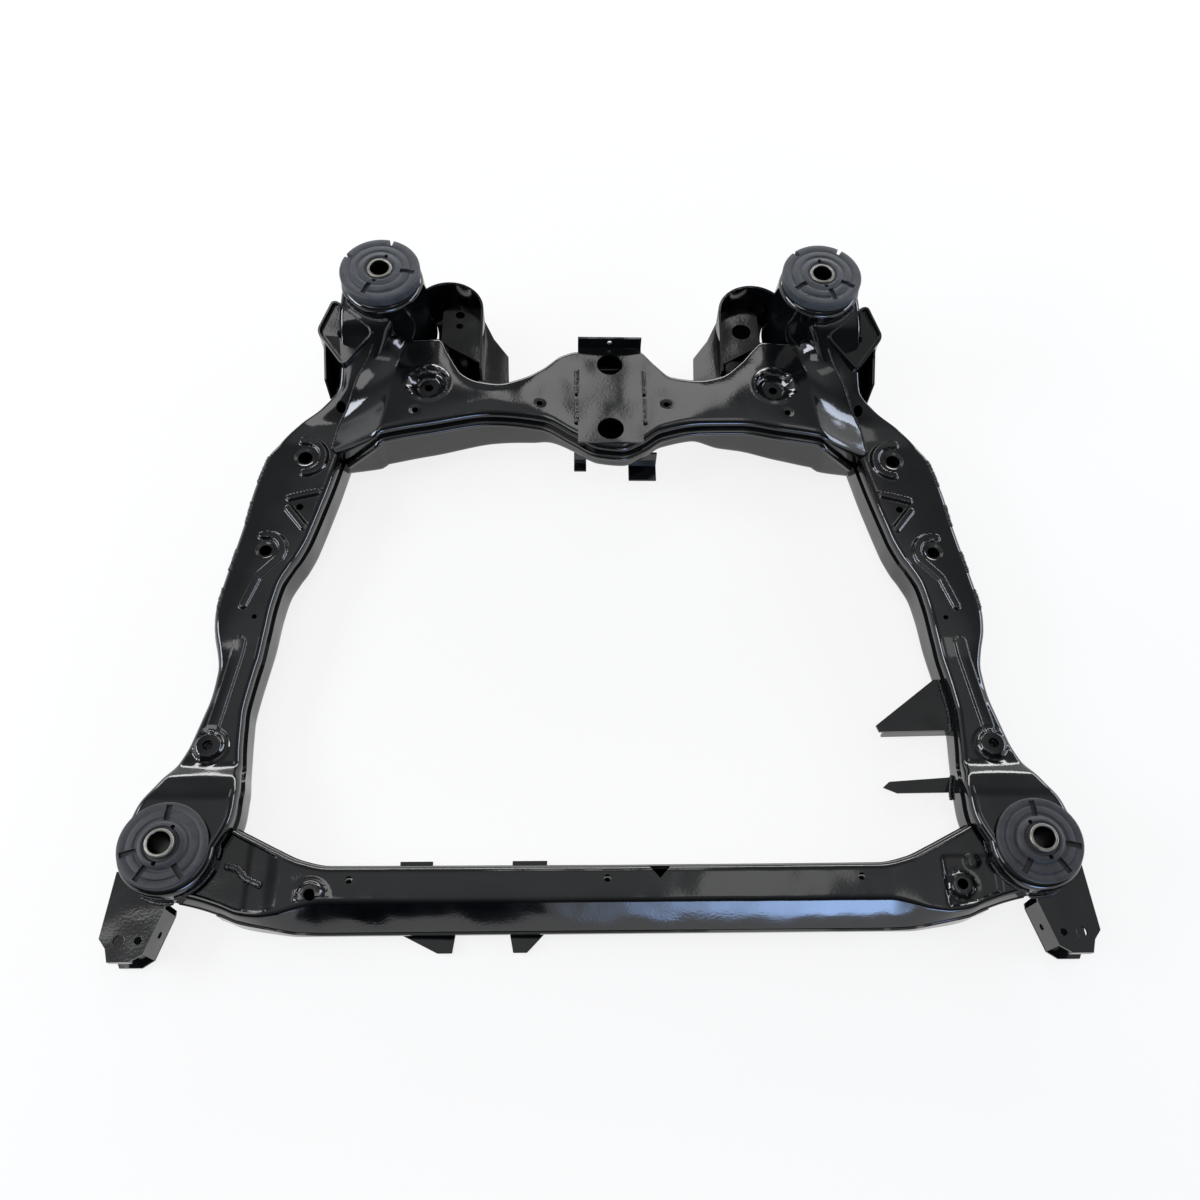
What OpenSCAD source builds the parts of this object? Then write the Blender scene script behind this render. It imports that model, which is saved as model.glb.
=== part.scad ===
// Front suspension subframe: two pressed rails, a front and a rear crossmember,
// four rubber body mounts and the brackets that are welded between them.
// Model axes: X across the car, +Y towards the rear mounts, +Z up.

/* [Body mounts] */
// Distance between the two front mount axes
front_mount_span = 940; // [880:1:1000]
// Distance between the two rear mount axes
rear_mount_span = 562; // [540:1:620]
// Distance from the front to the rear mount axes
mount_pitch = 710; // [680:1:760]
// Height of the front mount pads
front_pad_z = 74; // [70:1:80]
// Height of the rear mount pads
rear_pad_z = 168; // [160:1:180]
// Radius of the pad under each mount
pad_r = 52; // [50:0.5:56]
// Height of the drawn towers that carry the rear pads
tower_h = 104; // [96:1:110]
// Widening of the towers towards their feet
tower_flare = 8; // [4:0.5:10]

/* [Bushings] */
// Diameter of the rubber flange on top of a mount
flange_d = 95; // [88:0.5:98]
// Height of the rubber flange above its pad
flange_h = 13; // [9:0.5:18]
// Outside diameter of the steel can
can_d = 74; // [66:0.5:78]
// Wall of the steel can
can_wall = 2; // [1.5:0.1:3]
// Length of the steel can below the pad
can_l = 54; // [40:1:56]
// Outside diameter of the inner sleeve
sleeve_d = 31; // [27:0.5:36]
// Bolt bore of the inner sleeve
sleeve_bore = 22; // [16:0.5:24]
// Height of the inner sleeve above its pad
sleeve_rise = 18; // [14:0.5:22]
// Number of slots in the rim of the rubber
rim_slots = 5; // [3:1:8]

/* [Sheet] */
// Thickness of the pressed sheet
sheet_t = 2.5; // [2:0.1:3.2]
// Outside radius of the pressed edges
edge_r = 9; // [7:0.5:11]
// Width over which an upper and a lower pressing overlap
lap_w = 10; // [6:0.5:14]
// Clearance between two pressings, or a pressing and its insert
seat_gap = 0.2; // [0.1:0.05:0.3]
// Height of the pressed stiffening beads
bead_h = 3; // [2:0.25:4]

/* [Rails] */
// Height of the rails along their middle
rail_h = 58; // [52:1:66]
// Drop of the rail where the long bead lies
rail_dip = 6; // [3:0.5:9]
// Diameter of the large hole in each rail
rail_hole_d = 18; // [12:0.5:20]
// Diameter of the second hole in each rail
rail_hole2_d = 15; // [10:0.5:16]
// Bolt hole of the collar at the front of each rail
rail_bolt_d = 12; // [8:0.5:14]

/* [Front crossmember] */
// Height of the front crossmember's top
front_cm_z = 58; // [54:1:64]
// Depth of the front crossmember's flat top
front_cm_top = 32; // [28:1:36]
// Run of its sloping front face
front_cm_slope = 29; // [25:1:32]
// Distance of its rear edge in front of the front mount axes
front_cm_set = 20; // [16:1:24]
// Height of its underside above the ground
front_cm_floor = 7; // [6:0.5:9]

/* [Rear crossmember] */
// Height of the rear crossmember's top
rear_cm_z = 108; // [102:1:114]
// Height of its underside in the middle
rear_arch_z = 66; // [60:1:72]
// Height of its underside at the ends
rear_end_z = 30; // [26:1:36]
// Distance of the steering gear bolts from the middle
gear_x = 222; // [216:1:226]
// Bolt hole for the steering gear
gear_bolt_d = 11; // [8:0.5:14]
// Rim radius of the dish round each steering gear bolt
dish_r = 30; // [26:0.5:31]
// Depth of the dish round each steering gear bolt
dish_depth = 8; // [5:0.5:10]
// Shift of the centre plate to the right
plate_shift = 10; // [0:1:14]
// Diameter of the two large holes in the centre plate
plate_hole_d = 33; // [24:0.5:35]

/* [Brackets] */
// Thickness of the bracket sheet
bracket_t = 3; // [2.5:0.1:4]
// Height of the rim of the control arm pockets
arm_rim_z = 120; // [116:1:126]
// Height of the plates in the control arm pockets
arm_plate_z = 92; // [88:1:97]
// Width of each control arm pocket
arm_pocket_w = 92; // [88:1:94]
// Slope of the cups beside the rear mounts, in degrees
cup_slope = 31; // [27:1:34]
// Depth of the cups beside the rear mounts
cup_depth = 12; // [9:0.5:14]
// Height of the radiator bracket plates
radiator_z = 42; // [40:0.5:46]
// Reach of the radiator brackets in front of the front mount axes
radiator_reach = 113; // [108:1:120]
// Diameter of the locating hole in each radiator bracket
radiator_hole_d = 12; // [8:0.5:14]

/* [Hidden] */
$fn = 64;

ecoat = [0.09, 0.095, 0.105];
ecoat_edge = [0.16, 0.165, 0.18];
rubber = [0.17, 0.17, 0.18];
bare_steel = [0.62, 0.63, 0.62];

front_x = front_mount_span / 2;
rear_x = rear_mount_span / 2;
// The part is centred on its own length
y_mid = (mount_pitch + pad_r + tower_flare - radiator_reach) / 2;
arc_n = 3;

// Monotone curve through the points [station, value] of a table
function span_of(s, tab, i = 0) =
    (i >= len(tab) - 2 || s < tab[i + 1][0]) ? i : span_of(s, tab, i + 1);
function rise(tab, i) = (tab[i + 1][1] - tab[i][1]) / (tab[i + 1][0] - tab[i][0]);
function tangent(tab, i) =
    i <= 0 ? rise(tab, 0)
    : i >= len(tab) - 1 ? rise(tab, len(tab) - 2)
    : rise(tab, i - 1) * rise(tab, i) <= 0 ? 0
    : 2 * rise(tab, i - 1) * rise(tab, i) / (rise(tab, i - 1) + rise(tab, i));
function curve(s, tab) =
    let (i = span_of(s, tab), h = tab[i + 1][0] - tab[i][0], u = (s - tab[i][0]) / h)
    (2 * u ^ 3 - 3 * u ^ 2 + 1) * tab[i][1] + (u ^ 3 - 2 * u ^ 2 + u) * h * tangent(tab, i)
    + (3 * u ^ 2 - 2 * u ^ 3) * tab[i + 1][1] + (u ^ 3 - u ^ 2) * h * tangent(tab, i + 1);

function arc(c, r, a0, a1, n = arc_n) =
    [for (i = [0:n]) c + r * [cos(a0 + (a1 - a0) * i / n), sin(a0 + (a1 - a0) * i / n)]];

// Outline with each corner of a polygon rounded, corners as [x, y, radius]
function rounded(corners, n = 6) =
    [for (i = [0:len(corners) - 1])
        let (m = len(corners),
             p = corners[i],
             a = corners[(i + m - 1) % m] - p,
             b = corners[(i + 1) % m] - p,
             ua = [a[0], a[1]] / norm([a[0], a[1]]),
             ub = [b[0], b[1]] / norm([b[0], b[1]]),
             half = acos(ua * ub) / 2,
             q = [p[0], p[1]],
             c = q + (ua + ub) / norm(ua + ub) * p[2] / sin(half),
             from = q + ua * p[2] / tan(half) - c,
             to = q + ub * p[2] / tan(half) - c,
             turn = atan2(from[0] * to[1] - from[1] * to[0], from * to))
        each [for (k = [0:n]) let (w = turn * k / n)
            c + [from[0] * cos(w) - from[1] * sin(w), from[0] * sin(w) + from[1] * cos(w)]]];

// Cross-section of a channel between a and b: flat web, walls to heights lip_a and lip_b
function channel(a, b, web, lip_a, lip_b, r, t) =
    let (d = web > lip_a ? 1 : -1, cz = web - d * r)
    concat(
        [[b, lip_b]], arc([b - r, cz], r, 0, 90 * d), arc([a + r, cz], r, 90 * d, 180 * d), [[a, lip_a]],
        [[a + t, lip_a]], arc([a + r, cz], r - t, 180 * d, 90 * d), arc([b - r, cz], r - t, 90 * d, 0),
        [[b - t, lip_b]]);

// Shell skinned over closed rings; the first half of a ring is its outer face
module skin(rings, flip = false) {
    n = len(rings[0]);
    last = (len(rings) - 1) * n;
    sides = [for (j = [0:len(rings) - 2], i = [0:n - 1])
        let (a = j * n + i, b = j * n + (i + 1) % n)
        each [[a, b, b + n], [a, b + n, a + n]]];
    caps = [for (p = [0:n / 2 - 2])
        let (q = p + 1, r = n - 2 - p, s = n - 1 - p)
        each [[p, s, r], [p, r, q], [last + p, last + q, last + r], [last + p, last + r, last + s]]];
    faces = concat(sides, caps);
    polyhedron([for (ring = rings) each ring], flip ? [for (f = faces) [f[2], f[1], f[0]]] : faces);
}

// Everything is laid out from the front mount axes and then centred
module placed(tone) {
    color(tone) translate([0, -y_mid, 0]) children();
}

module on_left() {
    mirror([1, 0, 0]) children();
}

module at_mount(front) {
    translate([front ? front_x : rear_x, front ? 0 : mount_pitch, front ? front_pad_z : rear_pad_z])
        children();
}

// Rails: stations are percent of the mount pitch, offsets are from the line between the mounts
rail_step = 3;
rail_end = 99;
pad_wall_z = 38;
rail_outer = [[0, pad_r], [6, pad_r - 1], [10, 44], [18, 33], [24, 33], [30, 39], [34, 50], [38, 64],
    [42, 73], [50, 80], [58, 86], [66, 94], [72, 96], [75.5, 87], [78.5, 71], [81, 46], [84, 29],
    [90, 36], [100, 50]];
rail_inner = [[0, -pad_r], [4, -57], [9, -50], [13.5, -36], [17.5, -25], [21, -17], [24, -11],
    [28, -7], [36, -1], [43, 7], [46.5, 9], [50, 5], [52, 1], [56, -2], [65, -1], [73, 2], [77.5, 4],
    [81, -3], [84.5, -8], [88, -18], [92, -26], [100, -50]];
rail_low = rail_h - rail_dip;
rail_top = [[0, front_pad_z], [7, front_pad_z], [11, rail_low + 14], [14.5, rail_low + 1],
    [20, rail_low], [32, rail_low], [36.5, rail_h - 1], [40, rail_h], [74, rail_h], [78, rail_h + 7],
    [81, rail_h + 21], [85, rail_h + 43], [90, rail_h + 65], [94, rail_h + 82], [100, rear_pad_z - 4]];
rail_wall = [[0, front_pad_z - pad_wall_z], [15, 28], [72, 30], [82, 40], [90, 66], [100, 90]];
rail_floor = [[0, 20], [8, 19], [14, 5], [18, 0], [73, 0], [80, 8], [88, 30], [100, 62]];
rail_lower_from = 3;
rail_lower_end = 96;

function rail_y(s) = s / 100 * mount_pitch;
function rail_x(s, tab) = front_x + (rear_x - front_x) * s / 100 + curve(s, tab);
function rail_z(s) = curve(s, rail_top);
function rail_lip(s) = rail_z(s) - curve(s, rail_wall);
function rail_percent(y) = y / mount_pitch * 100;
function in_xz(ring, y) = [for (p = ring) [p[0], y, p[1]]];

// Room that the rail takes between two stations, with its lower pressing
module rail_block(from, to) {
    grow = sheet_t + 2 * seat_gap;
    top = 2 * rear_pad_z;
    skin([for (s = [from:rail_step:to])
        let (a = rail_x(s, rail_inner) - grow, b = rail_x(s, rail_outer) + grow)
        in_xz([[b, -1], [b, top], [a, top], [a, -1]], rail_y(s))]);
}

// Places on the rail top that carry a hole: [x offset from the mount line, y]
rail_hole_at = [45, rail_y(71.8)];
rail_hole2_at = [42, rail_y(52.5)];
rail_bolt_at = [9, rail_y(17)];
gusset_hole_at = [24, rail_y(61.3)];
slope_hole_at = [19, rail_y(80.9)];
drain_hole_at = [20, rail_y(39.7)];
small_hole_d = 9;
drain_hole_d = 6;
bead_w = 11;
neck_bead_w = 15;

function line_x(y) = front_x + (rear_x - front_x) * y / mount_pitch;
function on_rail(at) = [line_x(at[1]) + at[0], at[1]];

module rail_hole(at, d) {
    translate([on_rail(at)[0], at[1], 0]) cylinder(h = rear_pad_z, d = d);
}

// Straight bead between two places, as wide as w, with round ends
module bead_2d(a, b, w) {
    turn = atan2(b[1] - a[1], b[0] - a[0]);
    polygon(concat(arc(a, w / 2, turn + 90, turn + 270, 8), arc(b, w / 2, turn - 90, turn + 90, 8)));
}

// Part of a ring between two angles
function ring_part(c, r, w, a0, a1) =
    concat(arc(c, r + w / 2, a0, a1, 12), arc(c, r - w / 2, a1, a0, 12));

// Beads of the flat top: a hook round the large hole, a vee, and a hook with a tail
module rail_beads_2d(w) {
    hook_r = 24;
    tail_r = 21;
    eye = on_rail(rail_hole_at);
    vee = on_rail(gusset_hole_at);
    eye2 = on_rail(rail_hole2_at);
    polygon(ring_part(eye, hook_r, w, 80, 265));
    bead_2d(vee + [13, 13], vee + [-20, 23], w);
    bead_2d(vee + [13, -3], vee + [-8, -29], w);
    polygon(ring_part(eye2, tail_r, w, 75, 225));
    bead_2d(eye2 + tail_r * [cos(225), sin(225)], eye2 + [4, -37], w);
    bead_2d(eye2 + [4, -37], eye2 + [17, -76], w);
}

// Bead along the neck of the rail
module neck_bead_2d(w) {
    bead_2d(on_rail([24, rail_y(35)]), on_rail([13, rail_y(20)]), w);
}

// A bead is pressed up from the sheet: raised on top, and hollow by as much below
module raised(z) {
    translate([0, 0, z - sheet_t / 2]) linear_extrude(sheet_t / 2 + bead_h) children();
}

module hollow(z) {
    translate([0, 0, z - 2 * sheet_t]) linear_extrude(sheet_t + bead_h) children();
}

// Raised collar round a bolt hole
module collar(r_in, r_out, h) {
    rotate_extrude() polygon([[r_in, 0], [r_out + h, 0], [r_out, h], [r_in, h]]);
}

module rail_upper() {
    collar_r = 14;
    difference() {
        union() {
            skin([for (s = [0:rail_step:rail_end])
                in_xz(channel(rail_x(s, rail_inner), rail_x(s, rail_outer), rail_z(s), rail_lip(s),
                    rail_lip(s), edge_r, sheet_t), rail_y(s))]);
            at_mount(true) rotate(180) rotate_extrude(angle = 180)
                pad_profile(pad_r, front_pad_z - pad_wall_z, 0);
            raised(rail_h) rail_beads_2d(bead_w);
            raised(rail_low) neck_bead_2d(neck_bead_w);
            translate([on_rail(rail_bolt_at)[0], rail_bolt_at[1], rail_low - 1])
                collar(rail_bolt_d / 2, collar_r, bead_h + 2);
        }
        hollow(rail_h) rail_beads_2d(bead_w - 2 * sheet_t);
        hollow(rail_low) neck_bead_2d(neck_bead_w - 2 * sheet_t);
        at_mount(true) cylinder(h = 4 * sheet_t, d = can_d + 2 * seat_gap, center = true);
        tower_envelope();
        rail_hole(rail_hole_at, rail_hole_d);
        rail_hole(rail_hole2_at, rail_hole2_d);
        rail_hole(rail_bolt_at, rail_bolt_d);
        rail_hole(gusset_hole_at, small_hole_d);
        rail_hole(slope_hole_at, rail_bolt_d);
        rail_hole(drain_hole_at, drain_hole_d);
    }
}

module rail_lower() {
    grow = sheet_t + seat_gap;
    difference() {
        skin([for (s = [rail_lower_from:rail_step:rail_lower_end])
            in_xz(channel(rail_x(s, rail_inner) - grow, rail_x(s, rail_outer) + grow,
                curve(s, rail_floor), rail_lip(s) + lap_w, rail_lip(s) + lap_w, edge_r, sheet_t),
                rail_y(s))], true);
        tower_envelope();
        at_mount(true) cylinder(h = 2 * front_pad_z, r = pad_r + seat_gap, center = true);
        rail_hole(rail_bolt_at, rail_bolt_d);
    }
}

// Radial section of a mount pad: a disc with a rounded edge and a wall that may flare
module pad_profile(r, wall, flare) {
    t = sheet_t;
    bore = can_d / 2 + seat_gap;
    bend = [r - edge_r, -edge_r];
    polygon(concat([[bore, 0]], arc(bend, edge_r, 90, 0), [[r + flare, -wall], [r + flare - t, -wall]],
        arc(bend, edge_r - t, 0, 90), [[bore, -t]]));
}

module rear_tower() {
    at_mount(false) rotate_extrude() pad_profile(pad_r, tower_h, tower_flare);
}

// Room that the tower takes, with the seat gap round it
module tower_envelope() {
    rise_to = 20;
    foot = tower_h + 40;
    slope = tower_flare / (tower_h - edge_r);
    translate([rear_x, mount_pitch, rear_pad_z - edge_r - foot])
        cylinder(h = foot, r1 = pad_r + seat_gap + slope * foot, r2 = pad_r + seat_gap);
    translate([rear_x, mount_pitch, rear_pad_z - edge_r]) cylinder(h = rise_to, r = pad_r + seat_gap);
}

// Bushings
can_flange_d = 88;
rubber_web_d = 56;

module bushing_can(front) {
    at_mount(front) rotate_extrude() polygon([
        [can_d / 2 - can_wall, -can_l], [can_d / 2, -can_l], [can_d / 2, seat_gap],
        [can_flange_d / 2, seat_gap], [can_flange_d / 2, seat_gap + can_wall],
        [can_d / 2 - can_wall, seat_gap + can_wall]]);
}

module bushing_rubber(front) {
    bore = sleeve_d / 2 + seat_gap;
    body = can_d / 2 - can_wall - seat_gap;
    seat = can_wall + 2 * seat_gap;
    rim = flange_d / 2;
    groove_r = rim - 11;
    slot_w = 3;
    eye_d = 5;
    eye_h = 12;
    at_mount(front) difference() {
        rotate_extrude() polygon(concat(
            [[bore, 4 - can_l], [rubber_web_d / 2, 4 - can_l], [rubber_web_d / 2 + 4, -can_l / 2],
             [body, -can_l / 2 + 6], [body, seat], [rim - 3, seat]],
            arc([rim - 3, flange_h - 5], 3, -30, 90, 4),
            [[groove_r + 2, flange_h - 2], [groove_r, flange_h - 5], [groove_r - 3, flange_h - 5],
             [groove_r - 5, flange_h - 1], [sleeve_d / 2 + 12, flange_h], [sleeve_d / 2 + 9, flange_h - 3],
             [bore, flange_h - 3]]));
        for (i = [0:rim_slots - 1]) rotate(360 / rim_slots * i + 20)
            translate([groove_r, -slot_w / 2, flange_h - 5]) cube([rim, slot_w, flange_h]);
        for (a = [75, 262]) rotate(a) translate([sleeve_d / 2 + 6, 0, flange_h - eye_h])
            cylinder(h = eye_h, d = eye_d);
    }
}

module bushing_sleeve(front) {
    at_mount(front) translate([0, 0, -can_l]) difference() {
        cylinder(h = can_l + sleeve_rise, d = sleeve_d);
        translate([0, 0, -1]) cylinder(h = can_l + sleeve_rise + 2, d = sleeve_bore);
    }
}

// Front crossmember: stations are distances from the middle, and its ends flare back to the rails
flare_from = front_x - 170;
front_cm_ends = [[0, 0], [flare_from, 0], [front_x - 140, 7], [front_x - 113, 22], [front_x - 95, 32],
    [front_x - 77, 45], [front_x - 50, 70], [front_x + 10, 70]];
front_nose_ends = [[0, 0], [front_x - 140, 0], [front_x - 105, 4], [front_x - 78, 9], [front_x - 60, 16],
    [front_x - 35, 24], [front_x + 10, 34]];
front_cm_stations = concat([for (k = [0:4]) flare_from * k / 4], [for (d = [155:-15:5]) front_x - d]);
front_wall = 26;
front_nose_z = 22;
nose_lip_z = front_cm_floor + edge_r + seat_gap;
nose_lap = 4;
front_lower_reach = front_x - 65;
nut_x = front_x - 194;
nut_d = 13;
nut_hole_d = 8;
nut_y = -front_cm_set - edge_r - nut_d / 2;
left_collar = [154 - front_x, 4 - front_cm_set - front_cm_top];
right_collar = [front_x - 85, 10 - front_cm_set - front_cm_top];

function front_back_y(x) = curve(abs(x), front_cm_ends) - front_cm_set;
function front_nose_y(x) = curve(abs(x), front_nose_ends) - front_cm_set - front_cm_top - front_cm_slope;
function mirrored(list) = concat([for (i = [len(list) - 1:-1:1]) -list[i]], list);

// Upper pressing: rear wall, flat top, sloping face and a lip under the nose, set in by g
function front_section(x, g) =
    let (yb = front_back_y(x) - g, yn = front_nose_y(x) + g, z = front_cm_z - g, r = edge_r - g,
         crease = front_nose_y(x) + front_cm_slope + g / 2,
         nose_z = front_nose_z - g / 3,
         pitch = atan2(z - nose_z, crease - yn))
    concat([[yb, front_cm_z - front_wall]], arc([yb - r, z - r], r, 0, 90),
        arc([crease, z - r], r, 90, 90 + pitch), [[yn, nose_z], [yn, nose_lip_z]]);

// Room that the rails and the front pads take
module front_corners() {
    for (side = [0, 1]) mirror([side, 0, 0]) {
        translate([front_x, 0, -1]) cylinder(h = 2 * front_pad_z, r = pad_r + seat_gap);
        rail_block(0, 15);
    }
}

module front_crossmember_upper() {
    collar_r = 12;
    notch = [[-12, 1], [0, -13], [12, 1]];
    notch_x = 57;
    difference() {
        union() {
            skin([for (x = mirrored(front_cm_stations))
                let (o = front_section(x, 0), i = front_section(x, sheet_t))
                [for (p = concat(o, [for (k = [len(i) - 1:-1:0]) i[k]])) [x, p[0], p[1]]]], true);
            for (at = [left_collar, right_collar])
                translate([at[0], at[1], front_cm_z - sheet_t])
                    collar(rail_bolt_d / 2, collar_r, sheet_t + bead_h);
        }
        front_corners();
        for (at = [left_collar, right_collar])
            translate([at[0], at[1], 0]) cylinder(h = 2 * front_cm_z, d = rail_bolt_d);
        for (x = [-nut_x, 0, nut_x])
            translate([x, nut_y, 0]) cylinder(h = 2 * front_cm_z, d = nut_hole_d);
        translate([notch_x, -front_cm_set, front_cm_z - front_wall / 2])
            linear_extrude(front_wall) polygon(notch);
    }
}

module front_crossmember_lower() {
    grow = sheet_t + seat_gap;
    difference() {
        skin([for (x = mirrored([for (x = front_cm_stations) if (x <= front_lower_reach) x]))
            [for (p = channel(front_nose_y(x) - grow, front_back_y(x) + grow, front_cm_floor,
                nose_lip_z + nose_lap, front_cm_z - front_wall + lap_w, edge_r, sheet_t))
                [x, p[0], p[1]]]]);
        front_corners();
    }
}

// Nut welded under the top of the front crossmember
module weld_nut(x) {
    nut_h = 8;
    translate([x, nut_y, front_cm_z - sheet_t - seat_gap - nut_h]) difference() {
        cylinder(h = nut_h, d = nut_d, $fn = 6);
        translate([0, 0, -1]) cylinder(h = nut_h + 2, d = nut_hole_d);
    }
}

// Rear crossmember: stations are percent of the way from the middle to a ridge, and on to 200 at
// the rail; the edges are offsets from the rear mount axes
rear_front_edge = [[-200, -194], [-117, -197], [-81, -180], [-51, -165], [-28, -172], [-13.5, -195],
    [-1.5, -214], [9, -217], [18, -206], [27.5, -188], [46, -177], [64, -176], [84, -185], [117, -197],
    [200, -194]];
rear_back_edge = [[-200, -70], [-98.5, -45], [-83.5, -42], [-77, -66], [-68, -99], [-60, -110],
    [-50, -114], [-38, -104], [-29, -89], [-20, -68], [-12, -61], [19, -60], [26, -80], [34, -101],
    [47, -106], [58, -100], [70, -76], [77, -56], [83.5, -42], [98.5, -45], [200, -70]];
rear_underside = [[-200, rear_end_z - 18], [-98.5, rear_end_z], [-68, rear_end_z + 4],
    [-34, rear_end_z + 18], [-13.5, rear_arch_z], [7.5, rear_arch_z], [41, rear_arch_z],
    [56, rear_end_z + 18], [86, rear_end_z + 4], [98.5, rear_end_z], [200, rear_end_z - 18]];
rear_wall = 22;
rear_ridge_front = rear_x - 4;
rear_ridge_back = rear_x - 26;
rear_foot_z = 50;
rear_steps = 16;
foot_steps = 4;

function rear_front_y(u) = mount_pitch + curve(u * 100, rear_front_edge);
function rear_back_y(u) = mount_pitch + curve(u * 100, rear_back_edge);
function rear_floor_z(u) = curve(u * 100, rear_underside);
function blend(a, b, u) = a + (b - a) * u;

// The top is flat between two ridges and then falls to a foot on the rails: x at station u, depth y
function ridge_at(y) =
    let (front = rear_front_y(1), back = rear_back_y(1))
    blend(rear_ridge_front, rear_ridge_back, (y - front) / (back - front));
function foot_at(y) = rail_x(rail_percent(y), rail_inner) - sheet_t - 2 * seat_gap;
function rear_at(u, y) =
    abs(u) <= 1 ? u * ridge_at(y) : sign(u) * blend(ridge_at(y), foot_at(y), abs(u) - 1);
function rear_top(u) = abs(u) <= 1 ? rear_cm_z : blend(rear_cm_z, rear_foot_z, abs(u) - 1);
// Station of a place on the flat top
function rear_u(x) = 2 * x / (rear_ridge_front + rear_ridge_back);
rear_us = concat([for (k = [foot_steps:-1:1]) -1 - k / foot_steps],
    [for (k = [-rear_steps:rear_steps]) k / rear_steps],
    [for (k = [1:foot_steps]) 1 + k / foot_steps]);

module rear_loft(section, flip) {
    skin([for (i = [0:len(rear_us) - 1])
        [for (p = section[i]) [rear_at(rear_us[i], p[0]), p[0], p[1]]]], flip);
}

// Room that the crossmember takes, with a margin round it
module rear_block(margin) {
    head = 40;
    rear_loft([for (u = rear_us)
        let (a = rear_front_y(u) - margin, b = rear_back_y(u) + margin, top = rear_top(u) + head)
        [[b, 0], [b, top], [a, top], [a, 0]]], true);
}

gear_y = mount_pitch - 119;
dish_floor_r = 15;
plate_w = 82;
plate_front = 210;
plate_back = 58;
plate_hole_set = [89, 190];
lug_hole_d = 8;
lug_holes = [[-236, -161], [236, -161], [-80, -149], [82, -149]];

module plate_holes() {
    for (set = plate_hole_set)
        translate([plate_shift, mount_pitch - set, 0]) cylinder(h = 2 * rear_cm_z, d = plate_hole_d);
}

module rear_crossmember_upper() {
    dish = [[dish_r + 1, 0], [dish_floor_r, -dish_depth], [gear_bolt_d / 2, -dish_depth],
        [gear_bolt_d / 2, -dish_depth - sheet_t], [dish_floor_r + 1, -dish_depth - sheet_t],
        [dish_r + 1, -sheet_t]];
    difference() {
        union() {
            difference() {
                rear_loft([for (u = rear_us) let (lip = rear_top(u) - rear_wall)
                    channel(rear_front_y(u), rear_back_y(u), rear_top(u), lip, lip, edge_r, sheet_t)], true);
                for (s = [-1, 1]) translate([s * gear_x, gear_y, rear_cm_z - 2 * sheet_t])
                    cylinder(h = 4 * sheet_t, r = dish_r);
            }
            for (s = [-1, 1]) translate([s * gear_x, gear_y, rear_cm_z]) rotate_extrude() polygon(dish);
        }
        for (side = [0, 1]) mirror([side, 0, 0]) tower_envelope();
        plate_holes();
        for (at = lug_holes) translate([at[0], mount_pitch + at[1], rear_cm_z - rear_wall])
            cylinder(h = 2 * rear_wall, d = lug_hole_d);
    }
}

module rear_crossmember_lower() {
    grow = sheet_t + seat_gap;
    difference() {
        rear_loft([for (u = rear_us) let (lip = rear_top(u) - rear_wall + lap_w)
            channel(rear_front_y(u) - grow, rear_back_y(u) + grow, rear_floor_z(u), lip, lip, edge_r,
                sheet_t)], false);
        for (side = [0, 1]) mirror([side, 0, 0]) tower_envelope();
        for (s = [-1, 1]) translate([s * gear_x, gear_y, 0]) cylinder(h = rear_cm_z, d = gear_bolt_d);
    }
}

// Tubes that keep the box sections open round their bolts
module spacer(at, low, high, d) {
    translate([at[0], at[1], low]) difference() {
        cylinder(h = high - low, d = 2 * d);
        translate([0, 0, -1]) cylinder(h = high - low + 2, d = d);
    }
}

module gear_spacer() {
    floor_z = rear_floor_z(rear_u(gear_x - gear_bolt_d)) + sheet_t;
    seat_z = rear_cm_z - dish_depth - sheet_t;
    spacer([gear_x, gear_y], floor_z + 2 * seat_gap, seat_z - seat_gap, gear_bolt_d);
}

module rail_spacer() {
    front_edge = rail_percent(rail_bolt_at[1] - rail_bolt_d);
    floor_z = curve(front_edge, rail_floor) + sheet_t;
    spacer(on_rail(rail_bolt_at), floor_z + 2 * seat_gap, rail_low - sheet_t - seat_gap, rail_bolt_d);
}

// Plate on the middle of the rear crossmember, with its rear edge turned up
module centre_plate() {
    flange_rise = 20;
    tab_hole_d = 6;
    run = plate_front - plate_back;
    difference() {
        translate([plate_shift - plate_w / 2, mount_pitch - plate_front, rear_cm_z + seat_gap]) {
            cube([plate_w, run, bracket_t]);
            translate([0, run - bracket_t, 0]) cube([plate_w, bracket_t, flange_rise]);
        }
        plate_holes();
        translate([plate_shift, mount_pitch - plate_back, rear_cm_z + flange_rise / 2 + bracket_t])
            rotate([90, 0, 0]) cylinder(h = 4 * bracket_t, d = tab_hole_d, center = true);
    }
}

// Control arm pocket behind the rear crossmember: a wall bent into a D, with a flat skirt
pocket_clear = 28;
pocket_x = rear_x - pad_r - pocket_clear;
pocket_y = mount_pitch - 6;
pocket_run = 120;
pocket_floor = 72;
skirt_z = 82;
rim_fall = 8;

module pocket_2d(inset) {
    r = arm_pocket_w / 2 - inset;
    intersection() {
        translate([pocket_x, pocket_y]) circle(r = r);
        translate([pocket_x - r, pocket_y]) square([2 * r, r]);
    }
    translate([pocket_x - r, pocket_y - pocket_run]) square([2 * r, pocket_run]);
}

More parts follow.
